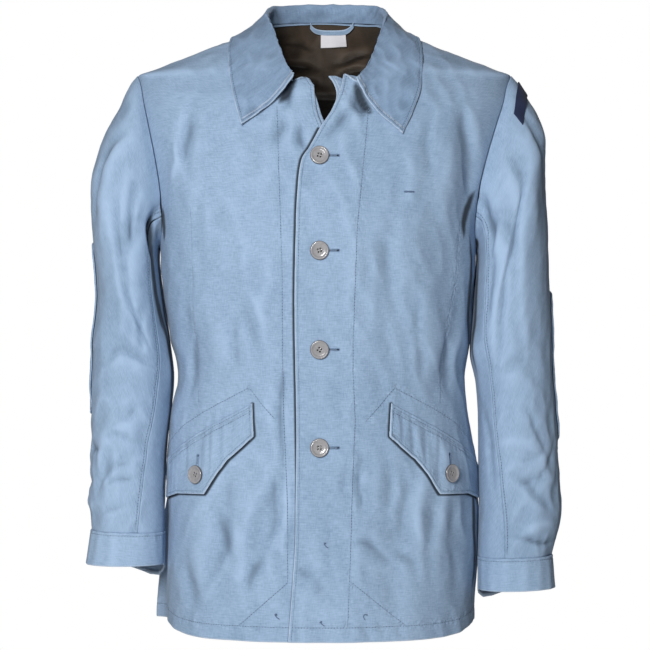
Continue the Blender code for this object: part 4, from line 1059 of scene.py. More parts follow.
# Back: one panel of the same cotton between the side seams. It is sewn to the fronts at the sides and
# shoulders, and folded and stitched at the hem.
SHOULDER_SHARE = 0.28
BACK_WIDE = 0.62
BACK_HIGH_LONG = 0.29
NECK_BACK = (
    ("share", "turn", "height"),
    (0.00, 180.0, 0.0120),
    (0.25, 146.0, 0.0215),
    (0.50, 90.0, 0.0280),
    (0.75, 34.0, 0.0215),
    (1.00, 0.0, 0.0120),
)


def back_grid(across, low, high):
    """The back from the right side seam to the left, and from hem to neck: its top boundary runs up one
    shoulder, round the neck and down the other."""
    u, v = across[None, :], high[:, None]
    heights = HEM + (UNDERARM - HEM) * low[:, None]
    low_turn = (1 - u) * seam_turn(heights, -1, 1) + u * seam_turn(heights, 1, 1)
    low_height = heights + hem_rise(low_turn, heights)
    start_turn, start_height = armhole(v, -1, 1)
    end_turn, end_height = armhole(v, 1, 1)
    along = np.clip((u - SHOULDER_SHARE) / (1 - 2 * SHOULDER_SHARE), 0, 1)
    to_neck = np.clip(np.minimum(u, 1 - u) / SHOULDER_SHARE, 0, 1)
    ridge_height = SHOULDER_TIP + (NECK_POINT - SHOULDER_TIP) * to_neck
    neck_turn, neck_height = read_each(NECK_BACK, ("turn", "height"), along, "share")
    ridge_turn = np.where(u < 0.5, seam_turn(ridge_height, -1, 1), seam_turn(ridge_height, 1, 1))
    on_ridge = to_neck < 1 - 1e-9
    top_turn = np.where(on_ridge, ridge_turn, np.clip(neck_turn, ridge_turn[0, -1], ridge_turn[0, 0]))
    top_height = np.where(on_ridge, ridge_height, neck_height)
    high_turn = blend_sides(low_turn[-1:], top_turn, start_turn, end_turn, u, v)
    high_height = blend_sides(low_height[-1:], top_height, start_height, end_height, u, v)
    return np.concatenate([low_turn, high_turn[1:]]), np.concatenate([low_height, high_height[1:]])


across = np.union1d(spaced(BACK_WIDE, 0.0015, 0.0048), [SHOULDER_SHARE, 1 - SHOULDER_SHARE])
low, high = spaced(LOW_LONG, 0.0014, 0.0048, end=False), spaced(BACK_HIGH_LONG, 0.0015, 0.0045, start=False)
turn, height = back_grid(across, low, high)
ends = [float(seam_turn(level, side, 1)) for side in (-1, 1)]
edges = {"start": SEAM, "end": SEAM, "last": SEAM, "first": FOLD}
cloth("back_panel", "back", panel_point(turn, height), -1, edges,
      drawn=[hem_line(np.linspace(ends[0] - HEM_STITCH_SIDE, ends[1] + HEM_STITCH_SIDE, 700))])

# Back neck lining: thin brown cloth with a seam down its middle, sewn in at the neck and shoulders and
# hanging loose below them in soft creases.
LINING_SPAN = (6 / 22, 16 / 22)
LINING_LOW = 0.30
LINING_THICK = 0.0006
LINING_CREASES = (
    ("x_top", "z_top", "x_low", "z_low", "lift", "width", "bow", "lean"),
    (-0.055, -0.016, -0.006, -0.028, -0.0080, 0.0050, 0.003, 0.3),
    (-0.052, 0.004, -0.014, -0.003, -0.0060, 0.0038, -0.002, -0.3),
    (-0.050, -0.034, 0.002, -0.050, -0.0080, 0.0055, 0.003, 0.3),
    (0.004, 0.010, 0.002, -0.100, -0.0015, 0.0020, 0.000, 0.0),
    (0.066, -0.004, 0.016, -0.022, -0.0075, 0.0048, -0.003, 0.3),
    (0.066, -0.026, 0.014, -0.046, -0.0080, 0.0055, 0.003, -0.3),
    (-0.030, -0.058, 0.056, -0.070, -0.0070, 0.0060, 0.004, 0.3),
    (-0.066, 0.014, -0.050, -0.040, -0.0060, 0.0055, 0.002, 0.2),
    (0.074, 0.010, 0.058, -0.040, -0.0060, 0.0055, -0.002, 0.2),
)
# The lining is painted in shade lower down inside the jacket, darker towards the bottom.
brown = cloth_material(
    "brown lining", (0.028, 0.020, 0.0145), (0.083, 0.061, 0.043), (0.10, 0.08, 0.06), 0.55, 0.8, 0.0, 1.4,
    shaded=(-0.085, 0.005)
)
across, high = np.linspace(*LINING_SPAN, 130), np.linspace(LINING_LOW, 1, 90)
turn, height = back_grid(np.array([0, *across, 1]), np.array([0.0, 1.0]), np.array([0, *high]))
turn, height = turn[2:, 1:-1], height[2:, 1:-1]
base = body_point(turn, height)
loose = np.clip((0.020 - base[..., 2]) / 0.03, 0, 1)
inward = creases(LINING_CREASES, base[..., 0], base[..., 2]) - 0.0012 * (1 + ripples(base, 21, 0.020, 0.3))
cloth("neck_lining", "back_lining", panel_point(turn, height, loose * inward - SOLID_LAYER), -1, {},
      material=brown, thick=LINING_THICK)

# Front facings: the cotton turned in behind each front edge, whose neck ends show in the open neck. Each
# is stitched to its front. The table gives its upper and lower end and its inner edge.
FACING_INSIDE = SOLID_LAYER + 0.0012
FACING_ENDS = {1: (-0.0570, -0.1140, 0.040), -1: (-0.0730, -0.1500, -0.040)}
for side, name in SIDES:
    down, u = spaced(0.06, 0.0012, 0.0020)[:, None], spaced(0.05, 0.0010, 0.0020)[None, :]
    upper_end, lower_end, inner_edge = FACING_ENDS[side]
    height = upper_end + (lower_end - upper_end) * down + 0 * u
    curve = 0.0005 - 0.0185 * (1 - down) ** 3 if side > 0 else 0.0240 * down * (1 - down) - 0.001
    edge = front_edge(height, side) + curve
    x = edge + (inner_edge - edge) * u
    height = height - 0.010 * np.clip(u - 0.25, 0, 1) * (1 - down)
    lift = (placket_lift(x) if side > 0 else 0.0 * x) - FACING_INSIDE
    cloth(f"{name}_facing", f"facing_{name}", panel_point(turn_at(x, height, -1), height, lift), -side,
          {"start": SLIM_FOLD, "first": SLIM_FOLD}, stitched={"start": (TRIM, 0.0), "first": (TRIM, 0.0)})

# Collar: two layers of cotton turned out and stitched round, sewn to the neck seam and rolled over. Its
# cloth is painted a little darker than the fronts', as painted shade. The table gives the roll and the
# leaf's edge at stations of the seam, from the right end to the left.
COLLAR = (
    ("seam", "roll_x", "roll_y", "roll_z", "edge_x", "edge_y", "edge_z"),
    (0.000, -0.0353, -0.1030, -0.0590, -0.0970, -0.118, -0.1180),
    (0.090, -0.0440, -0.0860, -0.0440, -0.1050, -0.108, -0.0900),
    (0.180, -0.0520, -0.0600, -0.0210, -0.1110, -0.080, -0.0600),
    (0.270, -0.0610, -0.0300, 0.0070, -0.1125, -0.042, -0.0330),
    (0.340, -0.0665, 0.0020, 0.0270, -0.1075, 0.000, -0.0040),
    (0.420, -0.0590, 0.0500, 0.0425, -0.0860, 0.070, 0.0040),
    (0.500, 0.0050, 0.0800, 0.0490, 0.0050, 0.101, 0.0060),
    (0.580, 0.0700, 0.0480, 0.0415, 0.0940, 0.070, 0.0040),
    (0.660, 0.0780, 0.0020, 0.0260, 0.1165, 0.000, -0.0030),
    (0.730, 0.0735, -0.0300, 0.0040, 0.1215, -0.042, -0.0290),
    (0.820, 0.0645, -0.0600, -0.0260, 0.1200, -0.080, -0.0680),
    (0.910, 0.0540, -0.0860, -0.0500, 0.1100, -0.108, -0.1020),
    (1.000, 0.0434, -0.1040, -0.0640, 0.0975, -0.118, -0.1290),
)
BACK_NECK_START = 0.34
ROLL_RADIUS = 0.0034
LEAF_CLEARANCE = 0.0032
LEAF_BULGE = 0.0022
COLLAR_SEAM_LIFT = 0.0022
COLLAR_LONG = 0.62
COLLAR_DEEP = 0.075
FRONT_END = 0.05
RIGHT_END_SHIFT = np.array([0.0036, 0.0, -0.0042])
LEFT_END_SHIFT = np.array([-0.0044, 0.0, -0.0048])
PULL_WAVES = 190
PULL_SLANT = 3.0
PULL_HIGH = 0.0006
PULL_REACH = 0.07


def through(points, at):
    """A smooth curve through a few points: cubic spans, each leaving a point towards the next but one."""
    points = np.concatenate([2 * points[:1] - points[1:2], points, 2 * points[-1:] - points[-2:-1]])
    spans = len(points) - 3
    at = at * spans
    low = np.minimum(at.astype(int), spans - 1)
    t = (at - low).reshape((-1,) + (1,) * (points.ndim - 1))
    a, b, c, d = (points[low + k] for k in range(4))
    return 0.5 * (2 * b + (c - a) * t + (2 * a - 5 * b + 4 * c - d) * t**2 + (3 * b - a - 3 * c + d) * t**3)


def outside_measure(points):
    """How far outside the body's form a point lies, as a share of its size."""
    x, y, z = np.moveaxis(points, -1, 0)
    right, left, front, back, rounding = read_each(BODY, BODY[0][1:], z, "height")
    half, deep = np.where(x < 0, right, left), np.where(y > 0, back, front)
    return (np.abs(x / half) ** rounding + np.abs(y / deep) ** rounding) ** (1 / rounding) - 1


def keep_outside(points, clearance):
    """Moves points straight out of the body until they clear it."""
    nudge = 0.0005
    points = points.copy()
    for _ in range(8):
        ahead, behind = (
            np.stack([outside_measure(points + shift * axis) for axis in np.eye(3)], -1)
            for shift in (nudge, -nudge)
        )
        slope = (ahead - behind) / (2 * nudge)
        steep = np.maximum(np.linalg.norm(slope, axis=-1), 1e-6)
        push = np.clip(clearance - outside_measure(points) / steep, 0, 0.01)
        points += slope / steep[..., None] * push[..., None]
    return points


def neck_seam(share):
    """The collar's seam from its right end, round the back, to its left end, as turn and height."""
    share = np.asarray(share, float)
    back_end = 1 - BACK_NECK_START
    first, last = column(NECK_RIGHT, "share")[2], column(NECK_LEFT, "share")[1]
    right = first + (1 - first) * np.clip(share / BACK_NECK_START, 0, 1)
    left = last + (1 - last) * np.clip((1 - share) / BACK_NECK_START, 0, 1)
    back = np.clip((share - BACK_NECK_START) / (back_end - BACK_NECK_START), 0, 1)
    right_x, right_height = read_each(NECK_RIGHT, ("x", "height"), right, "share")
    left_x, left_height = read_each(NECK_LEFT, ("x", "height"), left, "share")
    right_turn, left_turn = turn_at(right_x, right_height, -1), turn_at(left_x, left_height, -1)
    on_right, on_left = share < BACK_NECK_START, share > back_end
    back_turn, back_height = read_each(NECK_BACK, ("turn", "height"), back, "share")
    turn = np.where(on_right, right_turn, np.where(on_left, left_turn, back_turn))
    return turn, np.where(on_right, right_height, np.where(on_left, left_height, back_height))


share = spaced(COLLAR_LONG, 0.0008, 0.0026)
turn, height = neck_seam(share)
normal = body_facing(turn, height)
seam = body_point(turn, height) + normal * COLLAR_SEAM_LIFT
roll = np.stack(read_each(COLLAR, ("roll_x", "roll_y", "roll_z"), share, "seam"), -1)
edge = np.stack(read_each(COLLAR, ("edge_x", "edge_y", "edge_z"), share, "seam"), -1)
out_way, up = unit(normal * np.array([1.0, 1.0, 0.0])), np.array([0.0, 0.0, 1.0])
outer = roll + out_way * ROLL_RADIUS * 2 - up * ROLL_RADIUS * 0.6
middle = 0.55 * outer + 0.45 * edge
middle += np.exp(-share / FRONT_END)[:, None] * RIGHT_END_SHIFT
middle += np.exp(-(1 - share) / FRONT_END)[:, None] * LEFT_END_SHIFT
middle = keep_outside(middle, LEAF_CLEARANCE + LEAF_BULGE)
rib = np.stack([seam, 0.5 * (seam + roll), roll, roll + out_way * ROLL_RADIUS + up * ROLL_RADIUS * 0.9,
                outer, middle, keep_outside(edge, LEAF_CLEARANCE)])
leaf = spaced(COLLAR_DEEP, 0.0008, 0.0020, start=False)
down = np.concatenate([np.linspace(0, 0.5, 20)[:-1], 0.5 + 0.5 * leaf])
grid = through(rib, down)
facing = unit(np.cross(np.gradient(grid, axis=1), np.gradient(grid, axis=0)))
# The stand is crumpled, the leaf is softer, and the neck seam pulls both into waves at the front ends.
hold = np.clip((down - 0.42) / 0.2, 0, 1)[:, None]
soft = 0.0008 * (1 + ripples(grid, 31, 0.045, 0.2)) + 0.0008 * crumple(grid, 32, 0.024, 0.2)
soft = soft * hold + 0.0010 * crumple(grid, 33, 0.020, 0.2) * (1 - hold)
pulled = np.minimum(share, 1 - share)[None, :]
at_roll = np.exp(-(((down - 0.55) / 0.16) ** 2))[:, None]
pulls = np.sin(PULL_WAVES * pulled + PULL_SLANT * down[:, None]) * np.exp(-pulled / PULL_REACH) * at_roll
grid = grid + facing * (soft - PULL_HIGH * pulls)[..., None]
# The collar's cotton, painted darker as shade.
shade_painted_collar = cloth_material(
    "shade painted collar", (0.166, 0.254, 0.382), (0.274, 0.383, 0.540), (0.50, 0.61, 0.75), 0.84, 2.3, 0.60
)
cloth("turned_collar", "collar", grid, 1, {"start": FOLD, "end": FOLD, "last": FOLD},
      stitched={"start": (0.040, TRIM), "end": (0.040, TRIM), "last": (TRIM, TRIM)},
      turned=True, material=shade_painted_collar)

# Hanger loop: a narrow strip of the cotton folded in three. Both its ends are caught in the neck seam at
# the back, and it sags a little between them.
STRIP_FOLD = ((0.0003, -0.0003), (0.0, -0.0007), (-0.0026, -0.0009))
LOOP_ENDS = (-0.0165, 0.0440)
LOOP_TOP = 0.0280
LOOP_SAG = 0.0080
LOOP_WIDE = 0.0052
x = np.linspace(*LOOP_ENDS, 61)[None, :]
share = (x - LOOP_ENDS[0]) / (LOOP_ENDS[1] - LOOP_ENDS[0])
height = LOOP_TOP - LOOP_SAG * (1 - np.abs(2 * share - 1) ** 5) - LOOP_WIDE * np.linspace(0, 1, 8)[:, None]
lift = -(2 * SOLID_LAYER + 0.0020) - 0.0006 * np.sin(np.pi * share) + 0 * height
cloth("neck_loop", "hanger_loop", panel_point(turn_at(x + 0 * height, height, 1), height, lift), -1,
      {"first": STRIP_FOLD, "last": STRIP_FOLD}, thick=0.0007)

# Size label: a short strip of fine woven tape, here bare, with its ends turned under. It is sewn to the
# lining below the hanger loop, a little off the level.
LABEL_ENDS = (-0.0015, 0.0335)
LABEL_HEIGHTS = (0.0145, -0.0015)
LABEL_SLOPE = 0.06
tape = cloth_material(
    "pale tape", (0.70, 0.69, 0.72), (0.90, 0.89, 0.93), (0.9, 0.9, 0.9), 0.7, 0.5, 0.0, 0.5
)
x = np.linspace(*LABEL_ENDS, 30)[None, :]
share = (x - LABEL_ENDS[0]) / (LABEL_ENDS[1] - LABEL_ENDS[0])
height = np.linspace(*LABEL_HEIGHTS, 16)[:, None] + LABEL_SLOPE * (x - LABEL_ENDS[0])
lift = -(2 * SOLID_LAYER + 0.0018) - 0.0005 * np.sin(np.pi * share) + 0 * height
cloth("bare_label", "size_label", panel_point(turn_at(x + 0 * height, height, 1), height, lift), -1, {},
      material=tape, thick=0.0004)

# Sleeves: an upper and an under piece each, set into the armhole, with the seam's cloth turned in. The
# tables give the inner and outer line, the depth to the front and back, and the middle, along the sleeve.
SLEEVE_RIGHT = (
    ("along", "inner_x", "inner_z", "outer_x", "outer_z", "deep", "middle"),
    (0.00, -0.1990, -0.2620, -0.2300, -0.0490, 0.0620, 0.003),
    (0.04, -0.2035, -0.2665, -0.2385, -0.0595, 0.0690, 0.002),
    (0.10, -0.2045, -0.2800, -0.2525, -0.0865, 0.0750, 0.001),
    (0.17, -0.2025, -0.3020, -0.2680, -0.1160, 0.0790, 0.000),
    (0.25, -0.1990, -0.3280, -0.2810, -0.1490, 0.0800, -0.001),
    (0.34, -0.1950, -0.3550, -0.2895, -0.1900, 0.0790, -0.002),
    (0.45, -0.1900, -0.3880, -0.2865, -0.2560, 0.0745, -0.004),
    (0.55, -0.1860, -0.4250, -0.2810, -0.3180, 0.0690, -0.006),
    (0.66, -0.1880, -0.4630, -0.2855, -0.3900, 0.0640, -0.010),
    (0.78, -0.1940, -0.5200, -0.2870, -0.4730, 0.0580, -0.017),
    (0.90, -0.1958, -0.5750, -0.2885, -0.5530, 0.0520, -0.024),
    (1.00, -0.1962, -0.6170, -0.2850, -0.6145, 0.0470, -0.030),
)
SLEEVE_LEFT = (
    ("along", "inner_x", "inner_z", "outer_x", "outer_z", "deep", "middle"),
    (0.00, 0.1900, -0.2620, 0.2366, -0.0490, 0.0620, 0.003),
    (0.04, 0.1940, -0.2670, 0.2450, -0.0590, 0.0680, 0.002),
    (0.10, 0.1945, -0.2810, 0.2565, -0.0760, 0.0730, 0.001),
    (0.17, 0.1925, -0.3030, 0.2700, -0.0985, 0.0770, 0.000),
    (0.25, 0.1900, -0.3300, 0.2795, -0.1290, 0.0790, -0.001),
    (0.34, 0.1885, -0.3580, 0.2795, -0.1750, 0.0790, -0.002),
    (0.45, 0.1865, -0.3960, 0.2825, -0.2430, 0.0750, -0.004),
    (0.55, 0.1935, -0.4330, 0.2850, -0.3250, 0.0700, -0.006),
    (0.66, 0.1965, -0.4780, 0.2875, -0.4100, 0.0650, -0.010),
    (0.78, 0.1965, -0.5300, 0.2925, -0.5000, 0.0590, -0.017),
    (0.90, 0.1960, -0.6000, 0.2970, -0.5850, 0.0530, -0.024),
    (1.00, 0.1950, -0.6480, 0.2845, -0.6455, 0.0480, -0.030),
)
SLEEVE_SEAMS = (
    ("along", "front", "back"),
    (0.00, 48.0, 292.0),
    (0.50, 46.0, 292.0),
    (0.66, 49.0, 290.0),
    (0.80, 58.0, 286.0),
    (1.00, 72.0, 280.0),
)
# Creases both sleeves have, then those of the right and of the left: ends as turn round and share along.
SLEEVE_BOTH = (
    ("turn_top", "along_top", "turn_low", "along_low", "lift", "width", "bow", "lean"),
    (70.0, 0.10, 96.0, 0.46, -0.0055, 0.0100, 0.002, 0.3),
    (118.0, 0.08, 132.0, 0.42, 0.0032, 0.0130, 0.000, 0.0),
    (96.0, 0.30, 104.0, 0.64, 0.0018, 0.0080, 0.002, 0.2),
    (250.0, 0.10, 236.0, 0.44, -0.0045, 0.0120, 0.000, 0.2),
    (262.0, 0.62, 200.0, 0.52, -0.0032, 0.0110, 0.003, 0.3),
    (300.0, 0.76, 222.0, 0.88, -0.0028, 0.0095, 0.003, 0.3),
    (226.0, 0.90, 286.0, 0.95, 0.0022, 0.0080, 0.002, 0.0),
    (18.0, 0.35, 30.0, 0.62, 0.0026, 0.0120, 0.000, 0.0),
)
SLEEVE_OWN = {
    -1: (
        (60.0, 0.56, 128.0, 0.66, -0.0040, 0.0100, 0.003, 0.3),
        (78.0, 0.74, 150.0, 0.88, 0.0032, 0.0115, 0.003, 0.0),
        (86.0, 0.83, 140.0, 0.92, -0.0030, 0.0060, 0.002, 0.4),
        (72.0, 0.70, 108.0, 0.78, -0.0022, 0.0055, 0.002, 0.3),
        (150.0, 0.895, 196.0, 0.910, -0.0034, 0.0065, 0.000, 0.2),
        (140.0, 0.945, 198.0, 0.950, 0.0026, 0.0075, 0.001, 0.0),
        (84.0, 0.930, 126.0, 0.965, -0.0026, 0.0045, 0.001, 0.3),
        (70.0, 0.86, 118.0, 0.90, -0.0028, 0.0040, 0.002, 0.4),
        (76.0, 0.78, 120.0, 0.80, -0.0022, 0.0042, 0.002, 0.3),
        (130.0, 0.83, 168.0, 0.85, -0.0040, 0.0050, 0.001, 0.3),
        (62.0, 0.40, 84.0, 0.60, -0.0026, 0.0060, 0.002, 0.3),
        (84.0, 0.07, 82.0, 0.28, -0.0040, 0.0060, 0.002, 0.3),
        (128.0, 0.10, 146.0, 0.38, -0.0058, 0.0065, 0.002, 0.4),
        (57.0, 0.00, 44.0, 0.17, -0.0085, 0.0065, 0.000, 0.3),
        (100.0, 0.20, 98.0, 0.42, -0.0030, 0.0055, 0.002, 0.3),
        (97.0, 0.42, 66.0, 0.54, -0.0030, 0.0060, 0.001, 0.3),
    ),
    1: (
        (60.0, 0.56, 124.0, 0.67, -0.0030, 0.0100, 0.003, 0.3),
        (66.0, 0.74, 150.0, 0.86, 0.0030, 0.0110, 0.003, 0.0),
        (72.0, 0.82, 140.0, 0.91, -0.0034, 0.0065, 0.002, 0.4),
        (150.0, 0.78, 104.0, 0.86, -0.0020, 0.0055, 0.002, 0.3),
        (80.0, 0.950, 160.0, 0.972, -0.0044, 0.0042, -0.004, 0.3),
        (96.0, 0.70, 126.0, 0.80, -0.0030, 0.0045, 0.002, 0.3),
        (84.0, 0.84, 132.0, 0.845, -0.0018, 0.0040, 0.002, 0.3),
        (88.0, 0.80, 140.0, 0.79, -0.0016, 0.0040, -0.002, 0.3),
        (20.0, 0.62, 52.0, 0.86, -0.0030, 0.0060, 0.003, 0.3),
        (88.0, 0.925, 150.0, 0.940, 0.0024, 0.0070, 0.001, 0.0),
        (104.0, 0.08, 98.0, 0.30, -0.0040, 0.0060, 0.003, 0.3),
        (136.0, 0.10, 150.0, 0.36, -0.0050, 0.0065, 0.002, 0.4),
        (62.0, 0.00, 56.0, 0.20, -0.0080, 0.0065, 0.000, 0.3),
        (95.0, 0.26, 59.0, 0.55, -0.0050, 0.0068, 0.002, 0.3),
        (53.0, 0.18, 55.0, 0.44, -0.0036, 0.0048, 0.001, 0.3),
    ),
}
SLEEVE_ROUND = 0.055
SLEEVE_LONG = 0.58
SLEEVE_SQUARE = 2.15
HEAD_BLEND = 0.22


def sleeve_loop(rows, turn, along):
    """A point round a sleeve, from the inner line (0) by the front (90) to the outer line (180): a rounded
    loop leaning with the two lines."""
    inner = np.stack(read_each(rows, ("inner_x", "inner_z"), along, "along"), -1)
    outer = np.stack(read_each(rows, ("outer_x", "outer_z"), along, "along"), -1)
    deep, middle = read_each(rows, ("deep", "middle"), along, "along")
    across = rounded(np.cos(np.radians(turn)), 2 / SLEEVE_SQUARE)
    forward = rounded(np.sin(np.radians(turn)), 2 / SLEEVE_SQUARE)
    line = (inner + outer) / 2 + (inner - outer) / 2 * across[..., None]
    return np.stack([line[..., 0], middle - deep * forward, line[..., 1]], -1)


def armhole_loop(side, turn):
    """The armhole's own points round the same turn, moved out of the body by a seam."""
    turn = np.asarray(turn, float) % 360
    in_front = turn <= 180
    share = np.where(in_front, turn, 360 - turn) / 180
    front_turn, height = armhole(share, side, -1)
    around = np.where(in_front, front_turn, armhole(share, side, 1)[0])
    point, normal = body_point(around, height), body_facing(around, height)
    inward = np.array([side * 0.21, 0.0, (SHOULDER_TIP + UNDERARM) / 2]) - point
    inward = unit(inward - (inward * normal).sum(-1, keepdims=True) * normal)
    return point + normal * (SOLID_LAYER * 0.75) + inward * SEAM_GAP * 0.9


def sleeve_point(side, turn, along, lift=0.0):
    """A point of a sleeve's cloth: its loop, eased into the armhole, plus creases and soft waves."""
    rows = SLEEVE_LEFT if side > 0 else SLEEVE_RIGHT
    turn, along = np.broadcast_arrays(np.asarray(turn, float), np.asarray(along, float))

    def plain(turn, along):
        first = armhole_loop(side, turn) - sleeve_loop(rows, turn, 0 * along)
        eased = np.clip(1 - along / HEAD_BLEND, 0, 1) ** 2
        return sleeve_loop(rows, turn, along) + first * eased[..., None]

    point = plain(turn, along)
    around = plain(turn + 1.0, along) - plain(turn - 1.0, along)
    down = plain(turn, np.minimum(along + 0.004, 1)) - plain(turn, np.maximum(along - 0.004, 0))
    normal = unit(np.cross(down, around)) * side
    scale = SLEEVE_ROUND * np.pi / 180, SLEEVE_LONG
    moved = creases(SLEEVE_BOTH + SLEEVE_OWN[side], turn, along, scale)
    moved = moved * np.clip((1 - along) / 0.03, 0, 1)
    busy = 0.4 + 0.9 * np.clip((along - 0.55) / 0.3, 0, 1)
    inner = np.clip((1 - np.cos(np.radians(turn))) / 0.6, 0.3, 1)
    waves = 0.0013 * ripples(point, 41 + side, 0.060, 0.5)
    waves = waves + 0.00085 * busy * crumple(point, 45 + side, 0.034, 0.1)
    waves = waves + 0.00030 * ripples(point, 48, 0.016, 0.3)
    return point + normal * (moved + waves * inner * np.clip(along / 0.08, 0, 1) + lift)[..., None]


# Deep folds under the arm, painted in deep shade: the ends as turn round and share along.
SLEEVE_HOLLOWS = {
    -1: (
        ((52.0, 0.03), (43.0, 0.15)), ((4.0, 0.0), (2.0, 0.10)), ((45.0, 0.07), (30.0, 0.44)),
        ((32.0, 0.26), (14.0, 0.64)), ((14.0, 0.02), (12.0, 0.70)), ((10.0, 0.45), (12.0, 0.95)),
    ),
    1: (((26.0, 0.0), (14.0, 0.05)), ((10.0, 0.05), (4.0, 0.16)), ((20.0, 0.07), (21.0, 0.56))),
}
UPPER_WIDE = 0.30
UNDER_WIDE = 0.13
HALF_SEAM = 0.5
STITCH_TURN = 3.4
for side, name in SIDES:
    along = spaced(SLEEVE_LONG, 0.0014, 0.0036)[:, None]
    front_seam, back_seam = read_each(SLEEVE_SEAMS, ("front", "back"), along, "along")
    upper = spaced(UPPER_WIDE, 0.0012, 0.0036)[None, :]
    upper = front_seam + HALF_SEAM + (back_seam - front_seam - 2 * HALF_SEAM) * upper
    under = spaced(UNDER_WIDE, 0.0012, 0.0042)[None, :]
    under = back_seam + HALF_SEAM - 360 + (front_seam - back_seam - 2 * HALF_SEAM + 360) * under
    seamed = {"start": SEAM, "end": SEAM, "first": SEAM, "last": SEAM}
    run = np.linspace(0.004, 0.985, 560)
    stitch_turn = read(SLEEVE_SEAMS, "front", run, "along") + HALF_SEAM
    line = sleeve_point(side, stitch_turn + STITCH_TURN, run)
    ahead = sleeve_point(side, stitch_turn + 6.0, run) - line
    facing = unit(np.cross(np.gradient(line, axis=0), ahead)) * side
    shaded = [sleeve_point(side, *np.linspace(start, end, 60).T) for start, end in SLEEVE_HOLLOWS[side]]
    shaded = [(rows, np.broadcast_to([0.0, -1.0, 0.0], rows.shape)) for rows in shaded]
    cloth(f"{name}_upper_sleeve", f"sleeve_top_{name}", sleeve_point(side, upper, along), -side, seamed,
          drawn=[(line, facing)], hollows=shaded)
    cloth(f"{name}_under_sleeve", f"sleeve_under_{name}", sleeve_point(side, under, along), -side, seamed,
          hollows=shaded)

# Elbow patches: a second layer of the cotton on the outer back of each sleeve, with its edges folded
# under and stitched on all round. Its sides bow in a little, by powers of the place across and along it.
PATCHES = {1: (0.54, 0.79), -1: (0.45, 0.78)}
PATCH_TURN = 214.0
PATCH_HALF = 46.0
for side, name in SIDES:
    a, b = 2 * spaced(0.10, 0.0010, 0.0026)[None, :] - 1, 2 * spaced(0.17, 0.0010, 0.0028)[:, None] - 1
    low, high = PATCHES[side]
    turn = PATCH_TURN + PATCH_HALF * a * (1 - 0.22 * b**8)
    share = (low + high) / 2 + (high - low) / 2 * b * (1 - 0.07 * a**6)
    grid = sleeve_point(side, turn, share, SOLID_LAYER + 2.2 * SEAM_GAP)
    folds = dict.fromkeys(EDGE_PLACES, SLIM_FOLD)
    sewn_edges = dict.fromkeys(EDGE_PLACES, (TRIM, TRIM))
    cloth(f"{name}_elbow_patch", f"elbow_patch_{name}", grid, -side, folds, sewn_edges, worn=False)

# Cuffs: a doubled band of the cotton, sewn to the sleeve and stitched along its edges. Its end laps over
# its start behind the wrist and is held by a small button.
CUFF_RIGHT = (
    ("along", "inner_x", "inner_z", "outer_x", "outer_z", "deep", "middle"),
    (0.00, -0.1962, -0.6174, -0.2850, -0.6149, 0.0470, -0.030),
    (1.00, -0.1965, -0.6560, -0.2910, -0.6560, 0.0475, -0.033),
)
CUFF_LEFT = (
    ("along", "inner_x", "inner_z", "outer_x", "outer_z", "deep", "middle"),
    (0.00, 0.1950, -0.6484, 0.2845, -0.6459, 0.0480, -0.030),
    (1.00, 0.1950, -0.6880, 0.2880, -0.6850, 0.0480, -0.033),
)
CUFF_START = 232.0
CUFF_SWEEP = 384.0
CUFF_LAP = SOLID_LAYER * 1.08
CUFF_BACK_DROP = {1: 0.0140, -1: 0.0180}
CUFF_ROUND = 0.265
CUFF_DEEP = 0.040


def cuff_point(side, turn, along, lift=0.0):
    """A point of a cuff: its loop, hanging lower at its inner back, with soft upright gathers."""
    rows = CUFF_LEFT if side > 0 else CUFF_RIGHT
    turn, along = np.broadcast_arrays(np.asarray(turn, float), np.asarray(along, float))
    point = sleeve_loop(rows, turn, along)
    around = sleeve_loop(rows, turn + 1.0, along) - sleeve_loop(rows, turn - 1.0, along)
    normal = unit(np.cross(np.array([0.0, 0.0, -1.0]), around)) * side
    gathers = 0.00095 * ripples(point, 52, 0.019, 0.95) * (1 - 0.3 * along)
    point = point + normal * (gathers + lift)[..., None]
    behind = np.clip((0.12 - np.sin(np.radians(turn))) / 0.7, 0, 1)
    behind = behind * np.clip(0.5 + 0.9 * np.cos(np.radians(turn)), 0, 1)
    point[..., 2] -= CUFF_BACK_DROP[side] * along * behind
    return point


for side, name in SIDES:
    turn, along = spaced(CUFF_ROUND, 0.0010, 0.0020)[None, :], spaced(CUFF_DEEP, 0.0009, 0.0018)[:, None]
    grid = cuff_point(side, CUFF_START + CUFF_SWEEP * turn, along, CUFF_LAP * turn)
    edges = {"start": SLIM_FOLD, "end": SLIM_FOLD, "last": SLIM_FOLD, "first": SEAM}
    cloth(f"{name}_cuff", f"cuff_{name}", grid, -side, edges,
          stitched={"first": (TRIM, TRIM), "end": (TRIM, TRIM)})

